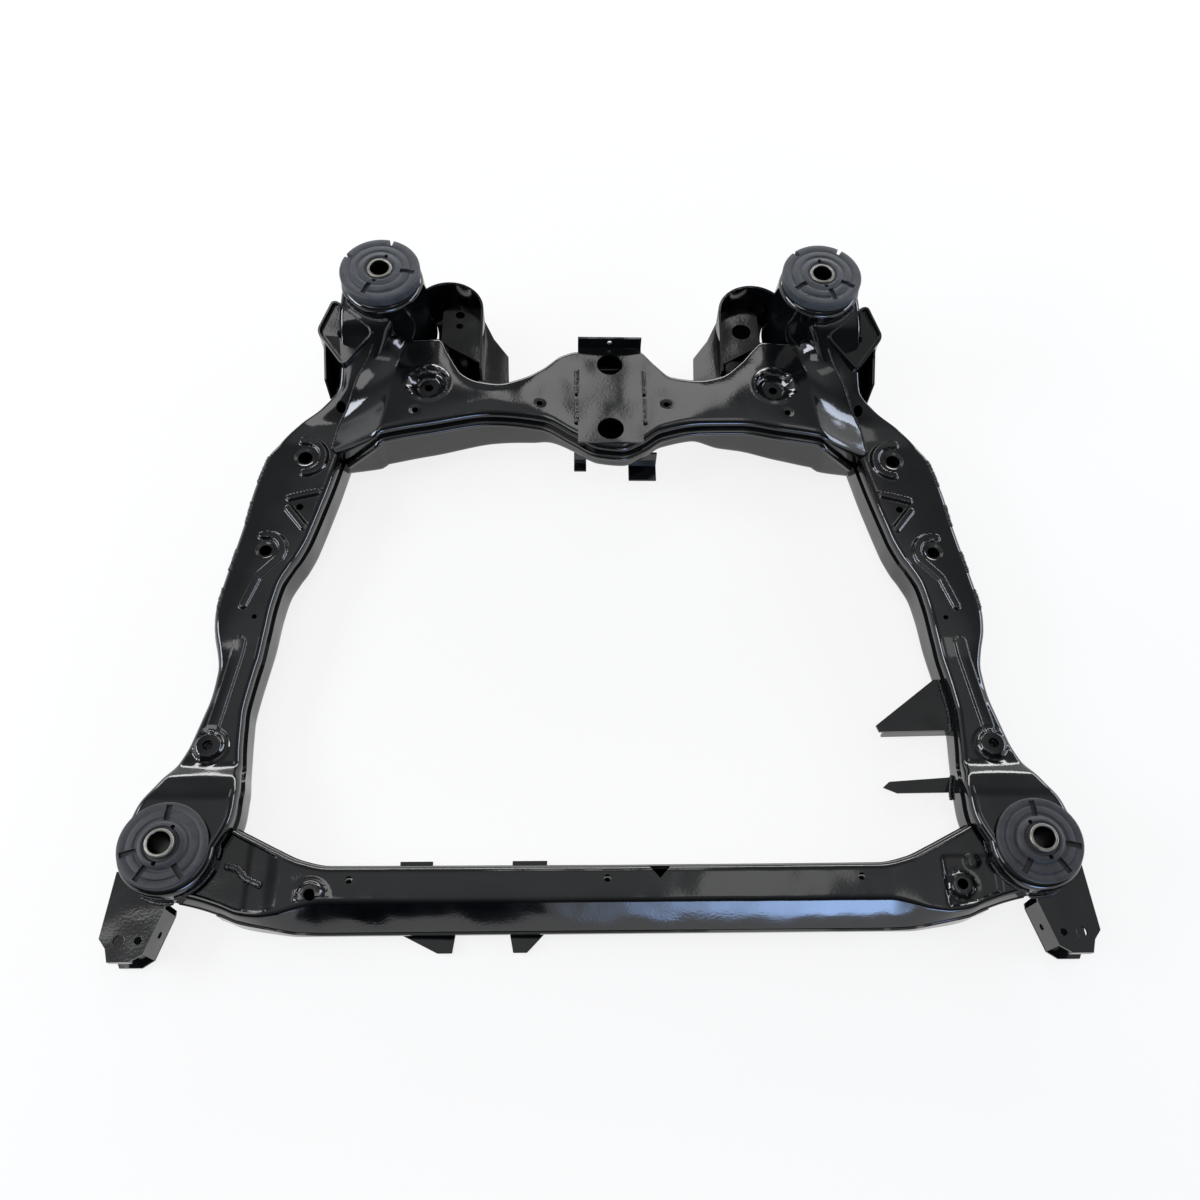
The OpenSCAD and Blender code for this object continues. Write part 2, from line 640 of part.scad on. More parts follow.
module arm_pocket() {
    inner_x = pocket_x - arm_pocket_w / 2 + bracket_t / 2;
    skirt = [[0, 12], [-14, -20], [-34, -50], [-36, -100], [0, -100]];
    difference() {
        union() {
            translate([0, 0, pocket_floor]) linear_extrude(arm_rim_z - pocket_floor) difference() {
                pocket_2d(0);
                pocket_2d(bracket_t);
                translate([pocket_x, pocket_y - pocket_run]) square([arm_pocket_w, pocket_run]);
            }
            translate([inner_x, pocket_y, skirt_z]) linear_extrude(bracket_t) polygon(skirt);
        }
        tower_envelope();
        rear_block(sheet_t + 2 * seat_gap);
        translate([0, pocket_y, arm_rim_z]) rotate([rim_fall, 0, 0])
            translate([0, -2 * pocket_run, 0]) cube([2 * rear_x, 2 * pocket_run, pocket_run]);
    }
}

module arm_plate(holes) {
    corners = [[-46, 20, 3], [-10, 30, 6], [10, 19, 8], [10, -36, 5], [-46, -70, 3]];
    difference() {
        translate([0, 0, arm_plate_z]) linear_extrude(bracket_t) intersection() {
            pocket_2d(bracket_t + seat_gap);
            translate([pocket_x, pocket_y]) polygon(rounded(corners));
        }
        for (h = holes) translate([pocket_x - 13, pocket_y + h[0], arm_plate_z - 1])
            cylinder(h = bracket_t + 2, d = h[1]);
        rear_block(sheet_t + 2 * seat_gap);
        tower_envelope();
    }
}

// Cup pressed from sheet, welded on the slope beside the rear mount
cup_inset = 1;
cup_ahead = 9;
cup_at = [rear_x + pad_r - cup_inset, mount_pitch - pad_r - cup_ahead, rail_h + 74];
cup_corners = [[8, 42, 6], [-44, 2, 9], [-2, -42, 7], [30, 1, 12]];
cup_hole_d = 11;

module cup_plane() {
    translate(cup_at) rotate([cup_slope, 0, 0]) children();
}

module tower_cup() {
    difference() {
        cup_plane() difference() {
            linear_extrude(cup_depth) polygon(rounded(cup_corners));
            translate([0, 0, sheet_t]) linear_extrude(cup_depth) offset(delta = -sheet_t)
                polygon(rounded(cup_corners));
            translate([0, 0, -1]) cylinder(h = cup_depth, d = cup_hole_d);
        }
        tower_envelope();
    }
}

// Channel between the rail's outer wall and the underside of the cup
module cup_gusset() {
    w = 15;
    low = 62;
    flange = 20;
    wall = 70;
    rail_side = rail_x(86, rail_outer) + sheet_t + 2 * seat_gap;
    from = rail_y(84.5);
    to = rail_y(90);
    difference() {
        translate([rail_side, to, low]) rotate([90, 0, 0]) linear_extrude(to - from) polygon([
            [0, flange], [0, 0], [w, 0], [w, wall], [w - bracket_t, wall], [w - bracket_t, bracket_t],
            [bracket_t, bracket_t], [bracket_t, flange]]);
        cup_plane() translate([-wall, -2 * wall, -seat_gap]) cube([2 * wall, 4 * wall, 2 * wall]);
        rail_block(81, 93);
    }
}

// Radiator bracket at the front corner: plate, inner wall and a short lip, folded from one sheet,
// laid out from the outer edge of the pad
module radiator_bracket() {
    front = -radiator_reach;
    fold_back = [-51, -58];
    fold_front = [-36, front + 8];
    lip_from = -24;
    lip_w = 24;
    lip_h = 9;
    floor_z = 2;
    wall_hole_d = 8;
    edge_x = front_x + pad_r;
    plate = [[-51, -44], fold_back, fold_front, [lip_from, front + 1], [lip_from + lip_w, front + 1],
        [4, front + 14], [12, front + 24], [6, -18], [-22, -20]];
    run = fold_front - fold_back;
    difference() {
        translate([edge_x, 0, 0]) {
            translate([0, 0, radiator_z - bracket_t]) linear_extrude(bracket_t) polygon(plate);
            translate([0, 0, floor_z]) linear_extrude(radiator_z - floor_z) translate(fold_back)
                rotate(atan2(run[1], run[0])) square([norm(run), bracket_t]);
            translate([lip_from, front, radiator_z - lip_h]) cube([lip_w, bracket_t, lip_h]);
        }
        translate([front_x, 0, 0]) cylinder(h = 2 * front_pad_z, r = pad_r + seat_gap);
        for (h = [[-9, radiator_hole_d], [-29, radiator_hole_d - 4]])
            translate([edge_x + h[0], front + 22, radiator_z / 2]) cylinder(h = radiator_z, d = h[1]);
        translate([edge_x - 72, front + 31, radiator_z / 2]) rotate([0, 90, 0])
            cylinder(h = 50, d = wall_hole_d);
        rail_block(0, 12);
    }
}

// Plates on the inside of the right rail, trimmed by its wall
gusset_z = 27;
tab_z = 20;

module rail_plate(points, z, t) {
    difference() {
        translate([front_x, 0, z]) linear_extrude(t) polygon(points);
        rail_block(9, 33);
    }
}

module engine_gusset() {
    flange = 15;
    rail_plate([[-72, 212], [-149, 153], [-146, 145], [-40, 147], [-40, 212]], gusset_z, bracket_t);
    rail_plate([[-140, 145], [-140, 145 + bracket_t], [-40, 147 + bracket_t], [-40, 147]],
        gusset_z - flange, flange);
}

module engine_tab() {
    rail_plate([[-40, 93], [-140, 86], [-148, 79], [-132, 72], [-40, 73]], tab_z, bracket_t);
}

// Straps under the front crossmember, laid out from its rear edge
module strap(points) {
    translate([0, -front_cm_set, front_cm_floor - seat_gap - bracket_t])
        linear_extrude(bracket_t) polygon(points);
}

module front_outer_strap() {
    strap([[-231, 20], [-194, 20], [-194, -2], [-165, -40], [-165, -60], [-168, -81], [-184, -81],
        [-226, -60], [-231, -40]]);
}

module front_inner_strap() {
    strap([[-105, 20], [-66, 20], [-68, -61], [-87, -81], [-102, -81], [-106, -61]]);
}

// Brackets that hang from the underside of the rear crossmember
module hanging(x, w, y, drop, foot) {
    top = rear_floor_z(rear_u(x + w / 2)) - seat_gap;
    translate([x, mount_pitch + y, top - drop]) {
        cube([w, bracket_t, drop]);
        translate([0, -foot, 0]) cube([w, foot, bracket_t]);
    }
}

module line_clip() {
    hanging(-36, 16, -196, 24, 12);
}

module hanger_bracket() {
    hanging(35, 36, -196, 30, 22);
}

placed(ecoat) on_left() rail_upper();  // left_rail_upper
placed(ecoat) rail_upper();  // right_rail_upper
placed(ecoat_edge) on_left() rail_lower();  // left_rail_lower
placed(ecoat_edge) rail_lower();  // right_rail_lower
placed(ecoat) front_crossmember_upper();
placed(ecoat_edge) front_crossmember_lower();
placed(ecoat) rear_crossmember_upper();
placed(ecoat_edge) rear_crossmember_lower();
placed(ecoat) on_left() rear_tower();  // left_rear_tower
placed(ecoat) rear_tower();  // right_rear_tower
placed(ecoat_edge) on_left() bushing_can(true);  // front_left_bushing_can
placed(ecoat_edge) bushing_can(true);  // front_right_bushing_can
placed(ecoat_edge) on_left() bushing_can(false);  // rear_left_bushing_can
placed(ecoat_edge) bushing_can(false);  // rear_right_bushing_can
placed(rubber) on_left() bushing_rubber(true);  // front_left_bushing_rubber
placed(rubber) bushing_rubber(true);  // front_right_bushing_rubber
placed(rubber) on_left() bushing_rubber(false);  // rear_left_bushing_rubber
placed(rubber) bushing_rubber(false);  // rear_right_bushing_rubber
placed(bare_steel) on_left() bushing_sleeve(true);  // front_left_bushing_sleeve
placed(bare_steel) bushing_sleeve(true);  // front_right_bushing_sleeve
placed(bare_steel) on_left() bushing_sleeve(false);  // rear_left_bushing_sleeve
placed(bare_steel) bushing_sleeve(false);  // rear_right_bushing_sleeve
placed(ecoat) on_left() arm_pocket();  // left_arm_pocket
placed(ecoat) arm_pocket();  // right_arm_pocket
placed(ecoat_edge) on_left() arm_plate([[12, 12], [-7, 9]]);  // left_arm_plate
placed(ecoat_edge) arm_plate([[-12, 25]]);  // right_arm_plate
placed(ecoat) on_left() tower_cup();  // left_tower_cup
placed(ecoat) tower_cup();  // right_tower_cup
placed(ecoat_edge) on_left() cup_gusset();  // left_cup_gusset
placed(ecoat_edge) cup_gusset();  // right_cup_gusset
placed(ecoat) centre_plate();
placed(ecoat) on_left() radiator_bracket();  // left_radiator_bracket
placed(ecoat) radiator_bracket();  // right_radiator_bracket
placed(ecoat) engine_gusset();
placed(ecoat) engine_tab();
placed(ecoat_edge) front_outer_strap();
placed(ecoat_edge) front_inner_strap();
placed(ecoat_edge) line_clip();
placed(ecoat_edge) hanger_bracket();
placed(ecoat_edge) on_left() rail_spacer();  // left_rail_spacer
placed(ecoat_edge) rail_spacer();  // right_rail_spacer
placed(ecoat_edge) on_left() gear_spacer();  // left_gear_spacer
placed(ecoat_edge) gear_spacer();  // right_gear_spacer
placed(bare_steel) weld_nut(-nut_x);  // left_weld_nut
placed(bare_steel) weld_nut(0);  // centre_weld_nut
placed(bare_steel) weld_nut(nut_x);  // right_weld_nut
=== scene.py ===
# Front suspension subframe: pressed and welded sheet steel, dip coated black, with rubber body mounts.
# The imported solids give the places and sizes; the pressings are redrawn here as smooth sheet.
import math

import bmesh
import bpy
import numpy as np
from mathutils import Matrix, Vector


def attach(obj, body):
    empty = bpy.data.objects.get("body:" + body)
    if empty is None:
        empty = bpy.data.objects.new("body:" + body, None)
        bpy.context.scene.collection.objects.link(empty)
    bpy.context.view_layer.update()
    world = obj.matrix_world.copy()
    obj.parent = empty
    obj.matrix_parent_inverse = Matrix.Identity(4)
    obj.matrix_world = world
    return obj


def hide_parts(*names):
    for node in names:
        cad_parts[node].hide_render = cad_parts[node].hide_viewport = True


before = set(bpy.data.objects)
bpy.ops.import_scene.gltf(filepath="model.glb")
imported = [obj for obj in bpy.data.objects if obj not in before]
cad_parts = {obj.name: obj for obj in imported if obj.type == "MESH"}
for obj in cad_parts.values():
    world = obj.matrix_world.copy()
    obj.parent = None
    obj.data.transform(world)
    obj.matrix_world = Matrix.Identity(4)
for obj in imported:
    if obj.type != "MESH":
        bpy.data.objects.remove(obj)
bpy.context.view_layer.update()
scene = bpy.context.scene
scene.view_settings.view_transform = "Standard"


# Studio: the camera stands above the front edge and looks down on the part, as in the photograph.
# Soft boxes round the sides draw the sheet's edges, panes overhead give the tops their sheen, and the
# coat mirrors the pale floor and the hall around it.
PITCH, YAW, ROLL = (math.radians(a) for a in (63.848, -4.71, 4.26))
AXIS_Y = 328.5  # mm from the front mount axes to the middle of the part
EYE = (-0.03745, -0.31675 - AXIS_Y / 1000, 1.2345)  # the camera's place in metres


def tone(code):
    """Linear RGBA from an sRGB hex code."""
    parts = [int(code[i : i + 2], 16) / 255 for i in (1, 3, 5)]
    return [c / 12.92 if c <= 0.04045 else ((c + 0.055) / 1.055) ** 2.4 for c in parts] + [1.0]


def add(tree, kind, inputs=(), **settings):
    """One node with its settings; inputs are (socket, value, or the node or socket it is linked from)."""
    node = tree.nodes.new(kind)
    for key, value in settings.items():
        setattr(node, key, value)
    for key, value in inputs:
        if isinstance(value, bpy.types.Node):
            value = value.outputs[0]
        if isinstance(value, bpy.types.NodeSocket):
            tree.links.new(value, node.inputs[key])
        else:
            node.inputs[key].default_value = value
    return node


def ramp(tree, value, stops):
    """Colour of a ramp over a value, from (position, RGBA) stops."""
    node = add(tree, "ShaderNodeValToRGB", [("Fac", value)])
    elements = node.color_ramp.elements
    while len(elements) < len(stops):
        elements.new(0.5)
    for element, (position, colour) in zip(elements, stops):
        element.position = position
        element.color = colour
    return node.outputs["Color"]


def blank(name):
    """A new material and its empty node tree."""
    made = bpy.data.materials.new(name)
    made.use_nodes = True
    made.node_tree.nodes.clear()
    return made, made.node_tree


def thing(name, data):
    """A new object in the scene."""
    made = bpy.data.objects.new(name, data)
    scene.collection.objects.link(made)
    return made


def panel(name, corners, material):
    """A flat piece of the stage with four corners."""
    mesh = bpy.data.meshes.new(name)
    mesh.from_pydata(corners, [], [(0, 1, 2, 3)])
    mesh.materials.append(material)
    return thing(name, mesh)


camera = thing("camera", bpy.data.cameras.new("camera"))
turn = Matrix.Rotation(YAW, 3, "Z")
ahead = turn @ Vector((0, math.cos(PITCH), -math.sin(PITCH)))
above = turn @ Vector((0, math.sin(PITCH), math.cos(PITCH)))
aside = turn @ Vector((1, 0, 0))
right = aside * math.cos(ROLL) + above * math.sin(ROLL)
upward = above * math.cos(ROLL) - aside * math.sin(ROLL)
axes = Matrix((right, upward, -ahead)).transposed().to_4x4()
camera.matrix_world = Matrix.Translation(EYE) @ axes
camera.data.sensor_width = 36
camera.data.lens = 33
camera.data.shift_x = -0.0105
camera.data.shift_y = 0.0286
camera.data.clip_start = 0.01
scene.camera = camera

world = bpy.data.worlds.new("studio")
scene.world = world
world.use_nodes = True
tree = world.node_tree
tree.nodes.clear()
where = add(tree, "ShaderNodeSeparateXYZ", [("Vector", add(tree, "ShaderNodeTexCoord").outputs["Generated"])])
# level of the hall by height: pale near the horizon all round, above that dim behind the camera and
# grey ahead of it
HALL_BEHIND = ((0.0, 0.9), (0.2, 0.9), (0.27, 0.04), (0.6, 0.06), (1.0, 0.45))
HALL_AHEAD = ((0.0, 0.9), (0.2, 0.9), (0.3, 0.35), (0.7, 0.22), (0.8, 0.26), (0.9, 0.5), (1.0, 0.6))
skies = []
for stops in (HALL_BEHIND, HALL_AHEAD):
    colours = [(position, (level * 0.97, level * 0.99, level, 1)) for position, level in stops]
    skies.append(ramp(tree, where.outputs["Z"], colours))
turned = [("Value", where.outputs["Y"]), ("From Min", -0.45), ("From Max", 0.25)]
way = add(tree, "ShaderNodeMapRange", turned, interpolation_type="SMOOTHSTEP")
sky = add(tree, "ShaderNodeMix", [("Factor", way), (6, skies[0]), (7, skies[1])], data_type="RGBA")
room = add(tree, "ShaderNodeBackground", [("Color", sky.outputs[2]), ("Strength", 1.0)])
add(tree, "ShaderNodeOutputWorld", [("Surface", room)])

# the floor is painted a matt white; most of what is seen of it is plain white, the rest takes shadows
FLOOR_WHITE = 0.82
pale, tree = blank("pale_floor")
path = add(tree, "ShaderNodeLightPath").outputs
seen = path["Is Camera Ray"]
for ray in ("Is Glossy Ray", "Is Transmission Ray"):
    seen = add(tree, "ShaderNodeMath", [(0, seen), (1, path[ray])], operation="MAXIMUM")
seen = add(tree, "ShaderNodeMath", [(0, seen), (1, FLOOR_WHITE)], operation="MULTIPLY")
matt = add(tree, "ShaderNodeBsdfDiffuse", [("Color", tone("#f2f2f2"))])
glow = add(tree, "ShaderNodeEmission", [("Color", tone("#ffffff")), ("Strength", 1.0)])
mixed = add(tree, "ShaderNodeMixShader", [(0, seen), (1, matt), (2, glow)])
add(tree, "ShaderNodeOutputMaterial", [("Surface", mixed)])
corners = [(-9, -9, -0.0005), (9, -9, -0.0005), (9, 9, -0.0005), (-9, 9, -0.0005)]
floor = panel("floor", corners, pale)


def lamp(name, place, aim, size, radiance, colour):
    """A rectangular soft box that faces a point; its power follows from the radiance it shows."""
    data = bpy.data.lights.new(name, "AREA")
    data.shape = "RECTANGLE"
    data.size, data.size_y = size
    data.energy = math.pi * size[0] * size[1] * radiance
    data.color = tone(colour)[:3]
    made = thing(name, data)
    made.location = place
    made.rotation_euler = (Vector(aim) - Vector(place)).to_track_quat("-Z", "Y").to_euler()


lamp("key", (-1.5, -0.6, 2.6), (0, 0, 0), (1.2, 1.2), 2.5, "#ffffff")
lamp("left_box", (-2.4, -0.1, 1.3), (0, 0, 0.05), (1.8, 0.6), 12, "#eef3ff")
lamp("right_box", (2.4, 0.5, 0.8), (0, 0, 0.05), (2.2, 0.5), 8, "#dfeaff")
lamp("rear_box", (0.1, 2.9, 0.8), (0, 0.1, 0.05), (5.8, 0.45), 9, "#ffffff")
# overhead panes, brighter towards their middles: one over the front crossmember, two over the rear one
for k in range(6):
    lamp("crown", (0.6, -0.5, 2.7), (0.1, -0.45, 0), (1.8 - 0.22 * k, 0.5 - 0.05 * k), 1.2, "#ffffff")
for size in ((0.34, 1.2), (0.28, 1.0), (0.2, 0.8), (0.12, 0.5)):
    lamp("left_sheen", (-0.12, 2.25, 2.6), (-0.04, 0.3, 0.1), size, 2.4, "#ffffff")
    lamp("right_sheen", (0.37, 2.25, 2.6), (0.1, 0.3, 0.1), size, 2.4, "#ffffff")
# a blue window low in front on the right, brightest in its middle
WINDOW_STRIPS = 14
for i in range(WINDOW_STRIPS):
    level = 0.8 + 11 * math.sin(math.pi * min((i + 0.5) / (WINDOW_STRIPS - 1), 1)) ** 1.5
    lamp("window", (0.06 + 0.12 * i, -2.4, 0.22), (0.08 + 0.07 * i, 0, 0.05), (0.12, 0.45), level, "#a2c6ff")
# a flag of black cloth low on the left that only the gloss of the coat sees
cloth, tree = blank("black_cloth")
weave = add(tree, "ShaderNodeBsdfDiffuse", [("Color", tone("#040404"))])
add(tree, "ShaderNodeOutputMaterial", [("Surface", weave)])
flag = panel("flag", [(-2.8, -2.3, 0), (-0.1, -2.3, 0), (-0.1, -2.3, 0.7), (-2.8, -2.3, 0.7)], cloth)
flag.visible_camera = flag.visible_diffuse = flag.visible_shadow = False


# Rails, upper pressings: two long bowed channels of 2.5 mm steel, drawn in one stroke with stiffening
# beads, punched holes and the round step that carries a front mount, then dip coated black.
FRONT_X, REAR_X, PITCH_Y = 470.0, 281.0, 710.0  # mm, the mounts' axes in plan
FRONT_PAD, REAR_PAD, PAD_R = 74.0, 168.0, 52.0  # tops and radius of the mounts' seats
CAN_HOLE_R = 37.2  # radius of the hole that takes a mount's can
SHEET, EDGE_R = 2.5, 9.0  # thickness and outer bend radius of the pressings
GAP, LAP = 0.2, 10.0  # room between nested sheets, and how far their walls overlap
TOWER_H, TOWER_FLARE = 104.0, 8.0  # height of a rear tower, and how far its foot flares
TOWER_SLOPE = TOWER_FLARE / (TOWER_H - EDGE_R)
# tables by station, in hundredths of the way from a front mount to the rear one: the rail's outer and
# inner edge from the line between the mounts, its top, the height of its wall, and its floor
RAIL_OUTER = [(0, 52), (6, 51), (10, 44), (18, 33), (24, 33), (30, 39), (34, 50), (38, 64), (42, 73),
              (50, 80), (58, 86), (66, 94), (72, 96), (75.5, 87), (78.5, 71), (81, 46), (84, 29), (90, 36),
              (100, 50)]
RAIL_INNER = [(0, -52), (4, -57), (9, -50), (13.5, -36), (17.5, -25), (21, -17), (24, -11), (28, -7),
              (36, -1), (43, 7), (46.5, 9), (50, 5), (52, 1), (56, -2), (65, -1), (73, 2), (77.5, 4),
              (81, -3), (84.5, -8), (88, -18), (92, -26), (100, -50)]
RAIL_TOP = [(0, 74), (7, 74), (11, 66), (14.5, 53), (20, 52), (32, 52), (36.5, 57), (40, 58), (74, 58),
            (78, 65), (81, 79), (85, 101), (88, 117), (90.5, 134), (92.5, 149), (95, 158), (100, 166)]
RAIL_WALL = [(0, 36), (15, 28), (72, 30), (82, 40), (88, 62), (90.5, 76), (92.5, 87), (95, 92), (100, 92)]
RAIL_FLOOR = [(0, 20), (8, 19), (14, 5), (18, 0), (73, 0), (80, 8), (88, 30), (100, 62)]


def curve(s, table):
    """Monotone curve through the points of a table, for an array of stations."""
    s = np.asarray(s, float)
    t = np.array(table, float)
    h = np.diff(t[:, 0])
    rise = np.diff(t[:, 1]) / h
    tangent = np.empty(len(t))
    tangent[0], tangent[-1] = rise[0], rise[-1]
    before, after = rise[:-1], rise[1:]
    same = before * after > 0
    tangent[1:-1] = np.where(same, 2 * before * after / np.where(same, before + after, 1), 0)
    i = np.clip(np.searchsorted(t[:, 0], s, side="right") - 1, 0, len(h) - 1)
    u = (s - t[i, 0]) / h[i]
    return (
        (2 * u**3 - 3 * u**2 + 1) * t[i, 1]
        + (u**3 - 2 * u**2 + u) * h[i] * tangent[i]
        + (3 * u**2 - 2 * u**3) * t[i + 1, 1]
        + (u**3 - u**2) * h[i] * tangent[i + 1]
    )


def line_x(s):
    """The straight line between the mounts of the right side."""
    return FRONT_X + (REAR_X - FRONT_X) * np.asarray(s, float) / 100


def station(y):
    """Station of a place along the rails."""
    return y / PITCH_Y * 100


def rail_x(s, table):
    """An edge of the right rail."""
    return line_x(s) + curve(s, table)


def step(u):
    """Smooth step from 0 to 1."""
    u = np.clip(u, 0, 1)
    return u * u * (3 - 2 * u)


def to_bar(x, y, a, b):
    """Distance of places in plan from a straight bar."""
    a, b = np.array(a, float), np.array(b, float)
    d = b - a
    t = np.clip(((x - a[0]) * d[0] + (y - a[1]) * d[1]) / (d @ d), 0, 1)
    return np.hypot(x - a[0] - t * d[0], y - a[1] - t * d[1])


def to_arc(x, y, c, r, a0, a1):
    """Distance of places in plan from an arc."""
    a = np.degrees(np.arctan2(y - c[1], x - c[0])) % 360
    on = (a >= a0) & (a <= a1)
    ends = [(c[0] + r * math.cos(math.radians(w)), c[1] + r * math.sin(math.radians(w))) for w in (a0, a1)]
    off = np.minimum(*[np.hypot(x - e[0], y - e[1]) for e in ends])
    return np.where(on, np.abs(np.hypot(x - c[0], y - c[1]) - r), off)


def bead(d, w, h):
    """Height of a pressed bead at distance d from its middle line."""
    return h * step((w / 2 + 1.2 - d) / 3.4)


# holes of the right rail: two with a bead half round them, one in a V of beads, the bolt's, one on the
# slope and a drain
REAR_HOLE = (line_x(71.8) + 45, PITCH_Y * 0.718)
MID_HOLE = (line_x(52.5) + 42, PITCH_Y * 0.525)
VEE = (line_x(61.3) + 24, PITCH_Y * 0.613)
BOLT = (line_x(17) + 9, PITCH_Y * 0.17)
SLOPE = (line_x(80.9) + 19, PITCH_Y * 0.809)
DRAIN = (line_x(39.7) + 20, PITCH_Y * 0.397)
BOLT_D = 12
RAIL_HOLES = [(REAR_HOLE, 18), (MID_HOLE, 15), (VEE, 9), (BOLT, BOLT_D), (SLOPE, 12), (DRAIN, 6)]


def rail_relief(x, y):
    """Beads and collars of the rail's top sheet."""
    tail_at = math.radians(225)
    tail = (MID_HOLE[0] + 21 * math.cos(tail_at), MID_HOLE[1] + 21 * math.sin(tail_at))
    elbow = (MID_HOLE[0] + 4, MID_HOLE[1] - 37)
    heights = [
        bead(to_arc(x, y, REAR_HOLE, 24, 80, 265), 11, 3.8),
        bead(to_bar(x, y, (VEE[0] + 13, VEE[1] + 13), (VEE[0] - 20, VEE[1] + 23)), 10, 3.5),
        bead(to_bar(x, y, (VEE[0] + 13, VEE[1] - 3), (VEE[0] - 8, VEE[1] - 29)), 10, 3.5),
        bead(to_arc(x, y, MID_HOLE, 21, 75, 225), 11, 3.8),
        bead(to_bar(x, y, tail, elbow), 11, 3.8),
        bead(to_bar(x, y, elbow, (MID_HOLE[0] + 17, MID_HOLE[1] - 76)), 10, 3.5),
        bead(to_bar(x, y, (line_x(35) + 24, PITCH_Y * 0.35), (line_x(20) + 13, PITCH_Y * 0.2)), 15, 3.8),
    ]
    # the bolt's collar stands up from a shallow ring, and the two large holes have sunk rims
    away = np.hypot(x - BOLT[0], y - BOLT[1])
    collar = 3.5 * step((17 - away) / 4) - 1.6 * step((25 - away) / 5) * step((away - 16) / 3)
    rims = 0
    for c, d in RAIL_HOLES[:2]:
        rims = rims - 1.3 * step((d / 2 + 5 - np.hypot(x - c[0], y - c[1])) / 4)
    return np.max(heights, axis=0) + collar + rims


def channel(a, b, web, lip_a, lip_b, r, counts):
    """Outer faces of channel sections, one row each: wall at b, bend, web, bend, wall at a.

    The third result is the share across the web, or -1 beside it."""
    n_wall, n_bend, n_web = counts
    d = np.sign(web - lip_b)[:, None]
    a, b, web, lip_a, lip_b = (np.asarray(v, float)[:, None] for v in (a, b, web, lip_a, lip_b))
    cz = web - d * r
    w = np.linspace(0, 1, n_wall, endpoint=False)[None]
    q = np.radians(np.linspace(0, 90, n_bend, endpoint=False))[None]
    t = np.linspace(0, 1, n_web)[None]
    xs = [b + 0 * w, b - r + r * np.cos(q), b - r + (a - b + 2 * r) * t,
          a + r - r * np.sin(q + q[0, 1]), a + 0 * w]
    zs = [lip_b + (cz - lip_b) * w, cz + d * r * np.sin(q), web + 0 * t,
          cz + d * r * np.cos(q + q[0, 1]), cz + (lip_a - cz) * (w + w[0, 1])]
    off = [0 * part - 1 for part in xs]
    off[2] = 0 * xs[2] + t
    return np.concatenate(xs, axis=1), np.concatenate(zs, axis=1), np.concatenate(off, axis=1)


def crown(across, height):
    """Slight doming of a web, which the pressed sheet always has; across is negative off the web."""
    return np.where(across < 0, 0, height * (1 - (2 * across - 1) ** 2))


def grid_faces(rows, columns, start=0):
    """Four-sided faces of a grid of points that are numbered row by row."""
    i = np.arange(rows - 1)[:, None] * columns + np.arange(columns - 1)[None]
    return (np.stack([i, i + columns, i + columns + 1, i + 1], axis=-1).reshape(-1, 4) + start).tolist()


def places(x, y, z):
    """Points from coordinates that are numbers, rows, columns or grids."""
    return np.stack(np.broadcast_arrays(x, y, z), axis=-1)


def net(x, y, z):
    """Points and faces of a surface whose places form a grid."""
    points = places(x, y, z)
    return points, grid_faces(*points.shape[:2])


def mesh_of(name, points, faces=(), edges=()):
    """A mesh from millimetres measured from the front mount axes."""
    points = (np.asarray(points, float).reshape(-1, 3) - (0, AXIS_Y, 0)) / 1000
    mesh = bpy.data.meshes.new(name)
    mesh.from_pydata(points.tolist(), edges, faces)
    return mesh


def tidy(mesh, outward=None):
    """Merge doubles and point the faces outwards, or towards a direction for an open sheet."""
    work = bmesh.new()
    work.from_mesh(mesh)
    bmesh.ops.remove_doubles(work, verts=work.verts, dist=2e-6)
    bmesh.ops.recalc_face_normals(work, faces=work.faces)
    if outward is not None and sum(f.normal.dot(outward) * f.calc_area() for f in work.faces) < 0:
        bmesh.ops.reverse_faces(work, faces=work.faces)
    work.to_mesh(mesh)
    work.free()


def plain(made):
    """Turn live modifiers into the mesh itself."""
    result = bpy.data.meshes.new_from_object(made.evaluated_get(bpy.context.evaluated_depsgraph_get()))
    made.modifiers.clear()
    made.data = result


def smooth(made, degrees=32):
    """Smooth shading, with the edges that bend more than so many degrees left sharp."""
    made.data.polygons.foreach_set("use_smooth", [True] * len(made.data.polygons))
    made.data.set_sharp_from_angle(angle=math.radians(degrees))


def cut(made, *cutters):
    """Take closed cutters away from a closed piece."""
    for cutter in cutters:
        modifier = made.modifiers.new("cut", "BOOLEAN")
        modifier.operation = "DIFFERENCE"
        modifier.solver = "MANIFOLD"
        modifier.object = cutter
    plain(made)
    for cutter in cutters:
        bpy.data.objects.remove(cutter)


def sheet(made, thickness, outward):
    """Give an open sheet its thickness, inwards."""
    tidy(made.data, Vector(outward))
    modifier = made.modifiers.new("thickness", "SOLIDIFY")
    modifier.thickness = thickness / 1000
    modifier.offset = -1
    modifier.use_even_offset = True
    plain(made)


def solids(name, stacks):
    """Closed solids in one object, each from rings of points that run anticlockwise, seen from the last."""
    points, faces = [], []
    for rings in stacks:
        n, first = len(rings[0]), len(points)
        last = first + n * (len(rings) - 1)
        for k in range(n):
            m = (k + 1) % n
            faces += [(r + k, r + m, r + n + m, r + n + k) for r in range(first, last, n)]
        faces += [tuple(range(first + n - 1, first - 1, -1)), tuple(range(last, last + n))]
        points += [point for ring in rings for point in ring]
    return thing(name, mesh_of(name, points, faces))


def circle(centre, r, z, n):
    """A ring of points round an upright axis."""
    turns = [2 * math.pi * k / n for k in range(n)]
    return [(centre[0] + r * math.cos(w), centre[1] + r * math.sin(w), z) for w in turns]


def drills(holes, low, high, facets=40):
    """Upright pins in one object, for holes given as ((x, y), diameter)."""
    return solids("drill", [[circle(c, d / 2, z, facets) for z in (low, high)] for c, d in holes])


